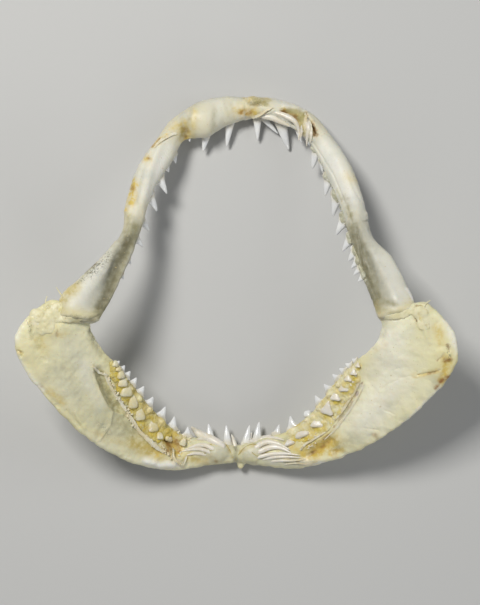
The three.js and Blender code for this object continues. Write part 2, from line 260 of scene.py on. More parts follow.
def loftRings(name, rings):
    # A disc is added and extruded once for each ring, and its rim is set to the ring's places.
    nothingSelected()
    bpy.ops.mesh.primitive_circle_add(vertices=len(rings[0]), radius=0.01, fill_type="NGON")
    piece = bpy.context.active_object
    piece.name = name
    bpy.ops.object.mode_set(mode="EDIT")
    for order, ring in enumerate(rings):
        if order:
            bpy.ops.mesh.extrude_region_move()
        shape = bmesh.from_edit_mesh(piece.data)
        cap = next(face for face in shape.faces if face.select)
        for corner, place in zip(cap.verts, ring):
            corner.co = place
        bmesh.update_edit_mesh(piece.data)
    bpy.ops.object.mode_set(mode="OBJECT")
    faceOutwards(piece)
    settle(piece)
    return piece


def settle(piece):
    # The place goes into the mesh, and the object stays at the origin.
    piece.data.transform(piece.matrix_world)
    piece.matrix_world = Matrix.Identity(4)
    bpy.context.view_layer.update()


def finishWith(piece, kind, **settings):
    step = piece.modifiers.new(kind.title(), kind)
    for key, value in settings.items():
        setattr(step, key, value)
    bpy.context.view_layer.objects.active = piece
    bpy.ops.object.modifier_apply(modifier=step.name)


def joinPieces(name, parts):
    nothingSelected()
    for part in parts:
        part.select_set(True)
    bpy.context.view_layer.objects.active = parts[0]
    if len(parts) > 1:
        bpy.ops.object.join()
    piece = bpy.context.active_object
    piece.name = name
    return piece


def melt(piece, voxel, rounds):
    # Overlapping parts become one skin, smoothed.
    finishWith(piece, "REMESH", mode="VOXEL", voxel_size=voxel)
    finishWith(piece, "SMOOTH", factor=0.5, iterations=rounds)


def faceOutwards(piece):
    nothingSelected()
    piece.select_set(True)
    bpy.context.view_layer.objects.active = piece
    bpy.ops.object.mode_set(mode="EDIT")
    bpy.ops.mesh.select_all(action="SELECT")
    bpy.ops.mesh.normals_make_consistent(inside=False)
    bpy.ops.object.mode_set(mode="OBJECT")


def ellipsoid(place, radii, turn=0):
    nothingSelected()
    bpy.ops.mesh.primitive_uv_sphere_add(segments=24, ring_count=14, location=place, rotation=(0, 0, turn))
    ball = bpy.context.active_object
    ball.scale = radii
    bpy.context.view_layer.update()
    settle(ball)
    return ball


def smoothShade(piece, angle=60):
    nothingSelected()
    piece.select_set(True)
    bpy.context.view_layer.objects.active = piece
    bpy.ops.object.shade_smooth_by_angle(angle=math.radians(angle))


def readPlaces(piece):
    places = np.empty(len(piece.data.vertices) * 3)
    piece.data.vertices.foreach_get("co", places)
    return places.reshape(-1, 3)


def writePlaces(piece, places):
    piece.data.vertices.foreach_set("co", places.ravel())
    piece.data.update()


def readNormals(piece):
    normals = np.empty(len(piece.data.vertices) * 3)
    piece.data.vertices.foreach_get("normal", normals)
    return normals.reshape(-1, 3)


def lineDistance(spots, path):
    # Distance in pixels from each spot to a path, and the side of the path it lies on.
    path = np.asarray(path, float)
    nearest = np.full(len(spots), 1e9)
    side = np.zeros(len(spots))
    if len(path) == 1:
        return np.linalg.norm(spots - path[0], axis=1), side
    for start, end in zip(path[:-1], path[1:]):
        run = end - start
        share = np.clip(((spots - start) @ run) / (run @ run), 0, 1)
        offset = spots - (start + share[:, None] * run)
        distance = np.linalg.norm(offset, axis=1)
        closer = distance < nearest
        nearest[closer] = distance[closer]
        side[closer] = np.sign(run[0] * offset[closer, 1] - run[1] * offset[closer, 0])
    return nearest, side


def smoothStep(value, low, high):
    share = np.clip((value - low) / (high - low), 0, 1)
    return share * share * (3 - 2 * share)


def waveNoise(places, scale, seed):
    # Soft lumps from a few crossed waves; the same every run.
    draw = np.random.RandomState(seed)
    total = np.zeros(len(places))
    for octave in range(3):
        for _ in range(7):
            way = draw.normal(size=3)
            way *= (2 ** octave) / (scale * np.linalg.norm(way)) * 2 * math.pi
            total += np.sin(places @ way + draw.uniform(0, 6.3)) / (7 ** 0.5) / (2 ** octave)
    return total


# Pixels in which a ledge falls off on its steep side.
ledgeFall = 0.6


def strokeShape(kind, distance, side, width):
    if kind == "crack":
        return np.clip(1 - distance / width, 0, 1) ** 0.7
    bump = np.exp(-((distance / width) ** 2))
    if kind == "ledge":
        steepSide = np.exp(-((distance / ledgeFall) ** 2))
        return np.where(side > 0, bump, steepSide)
    return bump


def carve(piece, strokes):
    # Each stroke is a path in the photo with a width in pixels and a height in mm, on the tongue side.
    places = readPlaces(piece)
    normals = readNormals(piece)
    spots = toPhoto(places)
    facing = smoothStep(normals[:, 2], -0.05, 0.35)
    move = np.zeros(len(places))
    for kind, marks in strokes.items():
        for path, width, height in marks:
            distance, side = lineDistance(spots, path)
            move += height * strokeShape(kind, distance, side, width)
    places += normals * (move * facing * mm)[:, None]
    writePlaces(piece, places)


def paint(piece, name, spots):
    # A mask on the tongue side: each spot is a path, a width in pixels and a strength.
    places = readPlaces(piece)
    normals = readNormals(piece)
    photo = toPhoto(places)
    wobble = waveNoise(places, 0.006, 5) * 0.7
    mask = np.zeros(len(places))
    for path, width, strength in spots:
        distance, _ = lineDistance(photo, path)
        mask = np.maximum(mask, strength * np.exp(-((np.clip(distance + wobble, 0, None) / width) ** 2)))
    mask *= smoothStep(normals[:, 2], -0.2, 0.25)
    layer = piece.data.attributes.new(name, "FLOAT", "POINT")
    layer.data.foreach_set("value", mask)


def roughen(piece, scale, height, seed, onlyEdges=0.0):
    places = readPlaces(piece)
    normals = readNormals(piece)
    amount = waveNoise(places, scale, seed) * height
    if onlyEdges:
        amount *= 1 - smoothStep(np.abs(normals[:, 2]), 0.0, onlyEdges)
    places += normals * amount[:, None]
    writePlaces(piece, places)


# Materials.


def feed(tree, socket, value):
    # A socket takes a plain value or another node's output.
    if isinstance(value, bpy.types.NodeSocket):
        tree.links.new(value, socket)
    else:
        socket.default_value = value


def newNode(tree, kind, place, inputs=None, **settings):
    node = tree.nodes.new(kind)
    node.location = place
    for key, value in settings.items():
        setattr(node, key, value)
    for key, value in (inputs or {}).items():
        feed(tree, node.inputs[key], value)
    return node


def newGroup(name, inputs, output):
    # A node group with named number inputs and one number output.
    group = bpy.data.node_groups.new(name, "ShaderNodeTree")
    for key, value in inputs.items():
        socket = group.interface.new_socket(name=key, in_out="INPUT", socket_type="NodeSocketFloat")
        socket.default_value = value
    group.interface.new_socket(name=output, in_out="OUTPUT", socket_type="NodeSocketFloat")
    given = newNode(group, "NodeGroupInput", (-900, 0)).outputs
    result = newNode(group, "NodeGroupOutput", (600, 0)).inputs[0]
    return group, given, result


def mottledMaskGroup():
    # Mottled mask for stains, painted shade and painted highlight: a painted mask broken up by noise, soft at
    # its edge.
    inputs = {"Mask": 0, "Scale": 200, "Thin": 0.3, "Thick": 1.5}
    group, given, result = newGroup("brokenMask", inputs, "Mask")
    noise = newNode(group, "ShaderNodeTexNoise", (-550, -200), {
        "Vector": newNode(group, "ShaderNodeTexCoord", (-800, -250)).outputs["Object"],
        "Scale": given["Scale"], "Detail": 5, "Roughness": 0.6,
    })
    spread = newNode(group, "ShaderNodeMapRange", (-330, -200), {
        "Value": noise.outputs[0], "From Min": 0.34, "From Max": 0.66,
        "To Min": given["Thin"], "To Max": given["Thick"],
    }, interpolation_type="SMOOTHSTEP")
    product = newNode(group, "ShaderNodeMath", (-50, 0), {0: given["Mask"], 1: spread.outputs[0]},
                      operation="MULTIPLY", use_clamp=True)
    feed(group, result, product.outputs[0])
    return group


def grainGroup():
    # Fine fibres, pits and faint cracks of dried tissue, as a height.
    group, given, result = newGroup("driedGrain", {"Fibre": 1, "Cracks": 1, "Pits": 1}, "Height")
    place = newNode(group, "ShaderNodeTexCoord", (-900, -250)).outputs["Object"]
    warp = newNode(group, "ShaderNodeTexNoise", (-700, -350), {"Vector": place, "Scale": 60})
    shifted = newNode(group, "ShaderNodeMix", (-500, -250), {0: 0.012, 4: place, 5: warp.outputs[1]},
                      data_type="VECTOR")
    fibre = newNode(group, "ShaderNodeTexNoise", (-300, 200), {"Vector": place, "Scale": 420, "Detail": 6})
    cracks = newNode(group, "ShaderNodeTexVoronoi", (-300, -100), {"Vector": shifted.outputs[1], "Scale": 70},
                     feature="DISTANCE_TO_EDGE")
    crackWidth = {"Value": cracks.outputs[0], "From Max": 0.05}
    crackLine = newNode(group, "ShaderNodeMapRange", (-100, -100), crackWidth)
    pits = newNode(group, "ShaderNodeTexNoise", (-300, -400), {"Vector": place, "Scale": 1500, "Detail": 3})
    height = 0
    for texture, amount, y in ((fibre, "Fibre", 200), (crackLine, "Cracks", -50), (pits, "Pits", -300)):
        inputs = {0: texture.outputs[0], 1: given[amount], 2: height}
        height = newNode(group, "ShaderNodeMath", (250, y), inputs, operation="MULTIPLY_ADD").outputs[0]
    feed(group, result, height)
    return group


brokenMask = mottledMaskGroup()
driedGrain = grainGroup()


def opaque(colour):
    return (*colour, 1) if isinstance(colour, tuple) else colour


def mixColour(tree, factor, first, second, place):
    inputs = {0: factor, 6: opaque(first), 7: opaque(second)}
    return newNode(tree, "ShaderNodeMix", place, inputs, data_type="RGBA").outputs[2]


def noiseMask(tree, scale, low, high, place, detail=4):
    noise = newNode(tree, "ShaderNodeTexNoise", (place[0] - 200, place[1]), {
        "Vector": newNode(tree, "ShaderNodeTexCoord", (place[0] - 400, place[1])).outputs["Object"],
        "Scale": scale, "Detail": detail,
    })
    ramp = newNode(tree, "ShaderNodeMapRange", place, {
        "Value": noise.outputs[0], "From Min": low, "From Max": high,
    }, interpolation_type="SMOOTHSTEP")
    return ramp.outputs[0]


def paintedMask(tree, layer, y, scale, thin, thick):
    # A painted mask on the mesh, broken up by noise: stains, painted shade and painted highlight alike.
    mask = newNode(tree, "ShaderNodeAttribute", (-900, y), attribute_name=layer).outputs["Fac"]
    inputs = {"Mask": mask, "Scale": scale, "Thin": thin, "Thick": thick}
    return newNode(tree, "ShaderNodeGroup", (-650, y), inputs, node_tree=brokenMask).outputs[0]


def grainBump(tree, grain, strength, distance):
    height = newNode(tree, "ShaderNodeGroup", (-500, -400), grain, node_tree=driedGrain).outputs[0]
    inputs = {"Height": height, "Strength": strength, "Distance": distance}
    return newNode(tree, "ShaderNodeBump", (-200, -400), inputs).outputs[0]


def newMaterial(name, surface):
    material = bpy.data.materials.new(name)
    material.use_nodes = True
    shader = material.node_tree.nodes["Principled BSDF"]
    for key, value in surface.items():
        shader.inputs[key].default_value = value
    return material, material.node_tree, shader


cartilageLooks = {
    "upperCartilage": {
        "pale": (0.69, 0.68, 0.59), "warm": (0.66, 0.62, 0.46), "cool": (0.53, 0.54, 0.47),
        "roughness": 0.5, "shine": 0.05,
    },
    "lowerCartilage": {
        "pale": (0.76, 0.73, 0.5), "warm": (0.7, 0.65, 0.36), "cool": (0.58, 0.57, 0.39),
        "roughness": 0.46, "shine": 0.1,
    },
}
cartilageGrain = {"Fibre": 0.8, "Cracks": 0.25, "Pits": 0.3}
stainAndPaintedLightColours = {
    "cream": (0.62, 0.56, 0.33),
    "ochre": (0.62, 0.47, 0.12),
    "brown": (0.27, 0.13, 0.035),
    "olive": (0.38, 0.34, 0.15),
    # White membrane and fibres, and painted highlight on the bars' middles and rims.
    "whiteAndPaintedHighlight": (0.84, 0.83, 0.78),
    "grey": (0.4, 0.4, 0.34),
    # Painted shade with an olive tint.
    "paintedOliveShade": (0.24, 0.22, 0.11),
    # Painted shade: dark and smooth, in grooves and seams and where the flares curl away.
    "paintedShade": (0.12, 0.11, 0.06),
    # Mould specks, and also painted shade along a joint seam and in cracks.
    "mouldAndPaintedShade": (0.1, 0.1, 0.065),
}
speckColour = (0.5, 0.4, 0.2)
# Noise scale of each stain, painted shade and painted highlight, and how much of it shows where the noise is
# low and where it is high.
patchyBreak = (230, 0.45, 1.5)
softBreak = (230, 0.85, 1.1)
stainAndPaintedLightBreaks = {
    "cream": softBreak, "grey": softBreak, "paintedOliveShade": softBreak, "paintedShade": softBreak, "whiteAndPaintedHighlight": softBreak,
    "mouldAndPaintedShade": (900, -1.4, 1.5),
}


def cartilageMaterial(name):
    look = cartilageLooks[name]
    material, tree, shader = newMaterial(name, {
        "Subsurface Weight": 0.25, "Subsurface Radius": (1, 0.7, 0.4), "Subsurface Scale": 0.003,
        "Coat Weight": look["shine"], "Coat Roughness": 0.35,
    })
    warm = noiseMask(tree, 22, 0.35, 0.68, (-900, 300))
    cool = noiseMask(tree, 45, 0.52, 0.75, (-900, 0))
    colour = mixColour(tree, warm, look["pale"], look["warm"], (-700, 300))
    colour = mixColour(tree, cool, colour, look["cool"], (-500, 300))
    for order, (stainOrPaintedLight, tint) in enumerate(stainAndPaintedLightColours.items()):
        mask = paintedMask(tree, stainOrPaintedLight, -300 - 250 * order, *stainAndPaintedLightBreaks.get(stainOrPaintedLight, patchyBreak))
        colour = mixColour(tree, mask, colour, tint, (-300 + 60 * order, 200))
    specks = noiseMask(tree, 700, 0.66, 0.8, (-900, -3000), 2)
    colour = mixColour(tree, specks, colour, speckColour, (300, 200))
    feed(tree, shader.inputs["Base Color"], colour)
    rough = newNode(tree, "ShaderNodeMapRange", (-100, -200), {
        "Value": noiseMask(tree, 90, 0.3, 0.7, (-900, -1800)),
        "To Min": look["roughness"] - 0.08, "To Max": look["roughness"] + 0.14,
    })
    feed(tree, shader.inputs["Roughness"], rough.outputs[0])
    feed(tree, shader.inputs["Normal"], grainBump(tree, cartilageGrain, 0.35, 0.0006))
    return material


enamelLook = {"root": (0.66, 0.62, 0.51), "crown": (0.74, 0.75, 0.75), "milky": (0.82, 0.82, 0.8)}


def toothMaterial(name):
    material, tree, shader = newMaterial(name, {
        "Roughness": 0.16, "Coat Weight": 0.4, "Coat Roughness": 0.08,
        "Subsurface Weight": 0.15, "Subsurface Radius": (0.8, 0.8, 0.9), "Subsurface Scale": 0.0015,
    })
    height = newNode(tree, "ShaderNodeAttribute", (-900, 0), attribute_name="crownShare").outputs["Fac"]
    ramp = newNode(tree, "ShaderNodeMapRange", (-700, 0), {
        "Value": height, "From Min": 0.02, "From Max": 0.4,
    }, interpolation_type="SMOOTHSTEP")
    colour = mixColour(tree, ramp.outputs[0], enamelLook["root"], enamelLook["crown"], (-500, 0))
    milky = noiseMask(tree, 160, 0.45, 0.75, (-700, 300))
    feed(tree, shader.inputs["Base Color"], mixColour(tree, milky, colour, enamelLook["milky"], (-300, 0)))
    streak = newNode(tree, "ShaderNodeTexNoise", (-700, -400), {
        "Vector": newNode(tree, "ShaderNodeTexCoord", (-900, -400)).outputs["Object"], "Scale": 900,
    })
    bump = newNode(tree, "ShaderNodeBump", (-300, -400), {
        "Height": streak.outputs[0], "Strength": 0.08, "Distance": 0.0003,
    })
    feed(tree, shader.inputs["Normal"], bump.outputs[0])
    return material


# Dried tissue is mottled from light to deep, with blotches. Gum has painted heights, painted shade in its
# valleys and under the waiting teeth, and hollows.
tissueLooks = {
    "waitingCrown": {
        "light": (0.69, 0.65, 0.47), "deep": (0.66, 0.58, 0.33), "blotch": (0.76, 0.69, 0.58),
        "roughness": 0.4, "bump": 0.35,
    },
    "paleCrown": {
        "light": (0.74, 0.7, 0.62), "deep": (0.7, 0.65, 0.53), "blotch": (0.8, 0.77, 0.72),
        "roughness": 0.3, "bump": 0.2,
    },
    "driedGum": {
        "light": (0.58, 0.52, 0.24), "deep": (0.54, 0.41, 0.08), "blotch": (0.62, 0.58, 0.32),
        "roughness": 0.34, "bump": 0.5,
    },
    "paleGum": {
        "light": (0.74, 0.7, 0.46), "deep": (0.68, 0.57, 0.25), "blotch": (0.78, 0.74, 0.58),
        "roughness": 0.36, "bump": 0.5,
    },
    "edgeGum": {
        "light": (0.5, 0.5, 0.4), "deep": (0.42, 0.41, 0.29), "blotch": (0.56, 0.56, 0.48),
        "roughness": 0.45, "bump": 0.35,
    },
    "thinMembrane": {
        "light": (0.72, 0.69, 0.56), "deep": (0.66, 0.58, 0.38), "blotch": (0.5, 0.4, 0.2),
        "roughness": 0.5, "bump": 0.4,
    },
    "tornRim": {
        "light": (0.5, 0.42, 0.16), "deep": (0.42, 0.32, 0.1), "blotch": (0.6, 0.52, 0.28),
        "roughness": 0.45, "bump": 0.3,
    },
    "jointLigament": {
        "light": (0.7, 0.66, 0.45), "deep": (0.66, 0.61, 0.37), "blotch": (0.58, 0.52, 0.3),
        "roughness": 0.5, "bump": 0.28,
    },
}
tissueGrain = {"Fibre": 1.2, "Cracks": 0.4, "Pits": 0.5}
# The valley colour is painted shade in the gum's grooves and under the waiting teeth.
valleyColours = {"height": (0.76, 0.71, 0.5), "paintedValleyShade": (0.6, 0.47, 0.07), "hollow": (0.38, 0.22, 0.03)}
valleyBreak = (260, 0.7, 1.2)


def tissueMaterial(name):
    look = tissueLooks[name]
    material, tree, shader = newMaterial(name, {
        "Roughness": look["roughness"],
        "Subsurface Weight": 0.25, "Subsurface Radius": (0.8, 0.62, 0.42), "Subsurface Scale": 0.001,
    })
    deep = noiseMask(tree, 130, 0.35, 0.65, (-900, 300))
    blotch = noiseMask(tree, 330, 0.56, 0.72, (-900, 0))
    colour = mixColour(tree, deep, look["light"], look["deep"], (-600, 300))
    colour = mixColour(tree, blotch, colour, look["blotch"], (-400, 300))
    for order, (layer, tint) in enumerate(valleyColours.items()):
        mask = paintedMask(tree, layer, -700 - 250 * order, *valleyBreak)
        colour = mixColour(tree, mask, colour, tint, (-300 + 60 * order, 200))
    feed(tree, shader.inputs["Base Color"], colour)
    bump = grainBump(tree, tissueGrain, look["bump"], 0.0008)
    feed(tree, shader.inputs["Normal"], bump)
    feed(tree, shader.inputs["Coat Normal"], bump)
    return material


looks = {name: cartilageMaterial(name) for name in cartilageLooks}
looks["toothEnamel"] = toothMaterial("toothEnamel")
looks.update({name: tissueMaterial(name) for name in tissueLooks})
print("materials ready")


# Metres that every piece stays inside the CAD box, whose ground it may touch.
edgeMargin = 0.00002


def keepInside(piece):
    # Worn flat at the ground, and nothing past the jaw's own outline.
    places = readPlaces(piece)
    for axis in range(3):
        low = cadBox[0][axis] + (edgeMargin if axis < 2 else 0)
        places[:, axis] = np.clip(places[:, axis], low, cadBox[1][axis] - edgeMargin)
    writePlaces(piece, places)


def dress(piece, look, slot, *nodes):
    keepInside(piece)
    piece.data.materials.clear()
    piece.data.materials.append(looks[look])
    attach(piece, "root")
    if nodes:
        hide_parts(*nodes)


# The cartilage of each jaw: two bars and the pads at their middle, made one skin.
# A pad is its place and its radii, in metres, and the end rounding and start overlap are in mm.
jawShape = {
    "rings": 54,
    "sides": 32,
    "endRounding": 4,
    "startOverlap": 3,
    "voxel": 0.00085,
    "smoothing": 6,
    "upperPads": [
        ((0.006, 0.134, 0.014), (0.009, 0.008, 0.0065)),
        ((0.0135, 0.1395, 0.0165), (0.009, 0.004, 0.006)),
    ],
    "lowerPads": [
        ((-0.0148, -0.1308, 0.012), (0.0112, 0.0084, 0.0108)),
        ((0.0122, -0.1308, 0.012), (0.0108, 0.0084, 0.011)),
        ((0.001, -0.132, 0.012), (0.008, 0.0068, 0.0075)),
        ((0.0035, -0.1402, 0.009), (0.003, 0.0038, 0.003)),
    ],
}


def jawSkin(name, halves, pads):
    parts = []
    for key in halves:
        half = halfJaws[key]
        rings = [barRing(barFrame(half, 0), jawShape["sides"], 1, -jawShape["startOverlap"])]
        for r in range(jawShape["rings"] + 1):
            rings.append(barRing(barFrame(half, r / jawShape["rings"]), jawShape["sides"]))
        for turn in (0.4, 0.8, 1.2):
            advance = jawShape["endRounding"] * math.sin(turn)
            rings.append(barRing(barFrame(half, 1), jawShape["sides"], math.cos(turn), advance))
        parts.append(loftRings(key, rings))
    for place, radii in pads:
        parts.append(ellipsoid(place, radii))
    piece = joinPieces(name, parts)
    melt(piece, jawShape["voxel"], jawShape["smoothing"])
    return piece


upperJaw = jawSkin("upperJawCartilage", ("upperLeft", "upperRight"), jawShape["upperPads"])
lowerJaw = jawSkin("lowerJawCartilage", ("lowerLeft", "lowerRight"), jawShape["lowerPads"])
print("jaw skins", len(upperJaw.data.polygons), len(lowerJaw.data.polygons))

# Strokes of each kind, at their photo places: path, width in pixels, height in mm.
upperStrokes = {
    "bump": [
        ([(209, 112), (207, 128)], 12, 1.2), ([(216, 108), (214, 130)], 3.5, -0.7),
        ([(194.5, 107), (191.5, 117), (194.5, 132)], 2.4, 0.9),
        ([(188, 112), (185, 124), (188, 138)], 5, -1.6), ([(181, 122), (179, 132)], 4, 0.8),
        ([(222, 101), (228, 122)], 2.5, 0.4), ([(233, 104), (236, 120)], 3, -0.5),
        ([(245.5, 98), (246, 120)], 1.8, -1.1), ([(243, 112), (251, 112)], 4, -0.8),
        ([(154.5, 148), (146.5, 165), (142.5, 184), (139, 202)], 2.2, -0.6),
        ([(160, 146), (151.5, 166), (147, 186), (142, 204)], 3.5, 0.8),
        ([(172, 142), (163, 158), (157, 176)], 5, -0.5), ([(131, 182), (127.5, 205)], 2.2, -0.6),
        ([(126, 211), (131, 218), (130, 232)], 2.5, 1), ([(134, 208), (127, 224), (119, 240)], 2.5, -0.8),
        ([(120, 243), (104, 266), (84, 290), (72, 306)], 7, 1),
        ([(126, 241), (119, 253), (114.5, 267), (109, 283), (105, 296), (99, 305)], 4.2, -2.2),
        ([(133, 248), (125, 266), (117, 286), (108, 304)], 2.4, 0.8),
        ([(284, 112.4), (292, 111), (301, 113)], 3.4, -4.4), ([(297, 115.5), (301.5, 120)], 3, -2.6),
        ([(278, 119), (289, 122.5), (297, 128)], 2.2, 1.2), ([(284, 106), (297, 107), (306, 112)], 2.2, 1),
        ([(303, 124), (307, 136)], 1.6, 1.2), ([(308, 121), (311, 133), (310.5, 142)], 1.8, 1),
        ([(322, 140), (336, 158), (346, 176), (352, 196)], 5.5, 0.9), ([(345, 168), (347, 182)], 4, -0.4),
        ([(356, 204), (359, 222), (364, 240)], 3, 0.6), ([(372, 250), (384, 276), (396, 298)], 7, 1.2),
        ([(357, 232), (363, 252), (370, 272), (377, 296)], 4, -1.7),
        ([(378, 305), (392, 308), (410, 303)], 3, -0.4), ([(366, 214), (369.5, 219.5)], 2, 1.2),
        ([(372, 229), (378, 236)], 3, -1),
    ],
    "crack": [
        ([(152, 147), (158, 141), (165.5, 136), (173, 133)], 1, -0.9),
        ([(62, 318), (76, 320.5), (92, 319.5), (100, 315)], 1.2, -0.7),
        ([(305.3, 112.7), (311.4, 120.8), (315.5, 129), (315, 137)], 1.3, -2.4),
        ([(313, 124), (315.3, 134)], 1.9, -2.6), ([(319.6, 135), (326, 134), (331.8, 137)], 0.9, -0.45),
        ([(312.4, 142), (322.6, 158), (333, 174.5), (339.5, 190), (346.5, 206), (352, 223)], 1.1, -0.9),
        ([(350, 178), (354, 189), (361, 201)], 1.2, -0.5), ([(363, 221), (371, 221.5)], 0.9, -1.2),
        ([(356, 228), (360, 250), (364, 268)], 1.2, -0.8),
    ],
    "ledge": [([(253, 117.5), (262.4, 115), (268.6, 112), (274, 109)], 1.6, 1.3)],
}
upperStainsAndPaintedLight = {
    "cream": [
        ([(56, 306), (70, 314), (98, 315)], 6.5, 0.95), ([(62, 300), (78, 284)], 5, 0.5),
        ([(376, 304), (384, 312), (396, 313), (410, 305)], 6, 0.9), ([(196, 110), (194, 130)], 6, 0.5),
        ([(208, 112), (210, 128)], 12, 0.3), ([(228, 104), (226, 124)], 8, 0.35),
        ([(240, 106), (262, 106)], 8, 0.4), ([(128, 214), (126, 232)], 4, 0.5),
        ([(356, 214), (362, 228)], 3, 0.4),
    ],
    "ochre": [
        ([(247, 99), (266, 101)], 4.5, 0.55), ([(236, 112), (254, 112)], 5, 0.8),
        ([(183, 126), (186, 138)], 6.5, 0.8), ([(174, 128), (180, 124)], 4, 0.5),
        ([(194, 110), (193, 128)], 3, 0.35), ([(147, 159)], 4, 0.8), ([(153, 146), (166, 136)], 2.2, 0.7),
        ([(134.5, 183), (130, 203)], 4.2, 1), ([(128, 200), (126, 210)], 3, 0.7),
        ([(283, 111.6), (292, 112.6), (300.6, 116), (301, 122)], 4, 1.1),
        ([(300, 124), (303, 133)], 3, 0.6), ([(311, 122), (314, 134)], 2.4, 0.6),
        ([(345, 178), (355, 180)], 6, 0.3), ([(69, 292), (76, 288)], 4.5, 0.6),
        ([(63, 300), (58, 308)], 4, 0.6), ([(376, 302), (381, 322)], 3, 0.35),
        ([(412, 296), (418, 302)], 3, 0.5),
    ],
    "brown": [
        ([(241, 112.5), (250, 112)], 3.2, 0.6), ([(184, 128), (187, 131)], 2.4, 0.5),
        ([(185, 136)], 2, 0.55), ([(133, 189)], 2.8, 0.55), ([(153, 146), (160, 140)], 1.1, 0.6),
        ([(148.5, 158.5)], 1.7, 0.55), ([(281, 111.6), (288, 113), (295, 116), (299, 121)], 2.6, 0.95),
        ([(284, 110.4), (300, 111.6)], 1.4, 0.6), ([(312.5, 123), (315.3, 135)], 2, 1),
        ([(305.3, 112.7), (311.4, 120.8)], 0.9, 0.8), ([(254, 105), (262, 103)], 1.6, 0.35),
        ([(95, 265)], 2, 0.4),
    ],
    "grey": [
        ([(124, 246), (106, 276), (92, 302)], 13, 0.6), ([(360, 224), (370, 252), (384, 294)], 13, 0.6),
        ([(376, 250), (392, 296)], 13, 0.35), ([(136, 222), (131, 240)], 6, 0.5),
        ([(352, 200), (358, 222)], 6, 0.35), ([(176, 150), (158, 190)], 4, 0.2),
    ],
    # Painted shade along the left flare's inner edge where it curls away, down the right flare's groove, in
    # cracks, along the joint seams and under the upper lying fang.
    "paintedShade": [
        ([(129, 238), (122, 253), (116, 268), (110.5, 284), (106, 297), (100, 307)], 4.6, 0.85),
        ([(354, 234), (360, 254), (367, 275), (374, 298)], 6, 0.6), ([(313, 126), (315, 135)], 1.4, 0.5),
        ([(188, 118), (186, 134)], 2, 0.2), ([(94, 264), (86, 272)], 2, 0.35),
        ([(66, 319.4), (84, 321), (97, 318)], 1.1, 0.6), ([(276, 118), (288, 121.5), (296, 125)], 0.9, 0.7),
        ([(64, 318), (84, 321), (100, 317)], 2.2, 0.5), ([(380, 318), (394, 320), (408, 315)], 2, 0.35),
    ],
    "olive": [
        ([(134, 232), (126, 250), (117, 278), (108, 300), (98, 312)], 8, 0.3),
        ([(290, 110.6), (297, 111.2), (301.4, 114), (301.6, 121)], 3.6, 1.3),
        ([(301, 125), (303.5, 133)], 2.6, 0.6), ([(352, 230), (358, 252), (366, 284)], 5, 0.25),
        ([(360, 246), (368, 272), (378, 300)], 5.5, 0.2), ([(372, 298), (392, 302)], 4, 0.45),
        ([(254, 101), (266, 103)], 4, 0.6), ([(184, 130)], 7, 0.22),
        ([(95, 262), (80, 280), (66, 298)], 3.5, 0.35), ([(60, 306), (72, 292)], 5, 0.5),
        ([(127, 214), (132, 224)], 3, 0.35), ([(347, 200), (351, 218)], 2.2, 0.5),
        ([(338, 190), (342, 200)], 1.6, 0.4), ([(215, 112), (215, 128)], 4, 0.22),
    ],
    # Mould specks on the left flare, and painted shade along the left joint seam.
    "mouldAndPaintedShade": [
        ([(90, 274), (97, 268), (103, 262), (109, 256)], 4.4, 0.6), ([(94, 266), (97, 264)], 2.2, 1.3),
        ([(78, 283), (84, 277)], 2.4, 0.5), ([(250, 100), (264, 104)], 4, 0.35),
        ([(70, 316), (90, 318)], 1.6, 0.4),
    ],
    # Painted shade with an olive tint along the flares' inner edges, at the flare ends and joint seams, and
    # in the notches.
    "paintedOliveShade": [
        ([(136, 228), (130, 242), (122, 258), (115, 278), (108, 298), (101, 310)], 8.5, 0.8),
        ([(352, 228), (358, 246), (366, 268), (375, 294), (380, 306)], 8, 0.7),
        ([(376, 298), (392, 303)], 4, 0.5), ([(64, 316), (84, 318.5), (98, 315)], 2.6, 0.45),
        ([(384, 312), (400, 313)], 2.4, 0.35), ([(343, 196), (350, 216)], 3, 0.4),
        ([(181, 126), (183, 136)], 4, 0.15), ([(256, 100), (266, 102)], 4, 0.2),
    ],
    # White fibres and torn membrane, and painted highlight down the middles of the upper plates and flares
    # and along the left flare's rim.
    "whiteAndPaintedHighlight": [
        ([(407, 289), (412, 297), (418, 304)], 1.6, 1), ([(419.5, 313), (421, 322), (427, 336)], 2, 0.6),
        ([(168, 148), (156, 172), (148, 196)], 6, 0.45), ([(322, 148), (338, 172), (350, 200)], 7, 0.5),
        ([(266, 117), (288, 123)], 3, 0.6), ([(305, 120), (309, 136)], 1.8, 0.55),
        ([(284, 104), (304, 109)], 3, 0.4), ([(104, 266), (84, 298)], 6, 0.45),
        ([(382, 258), (398, 290)], 5, 0.35), ([(134, 250), (110, 304)], 2, 0.4),
    ],
}
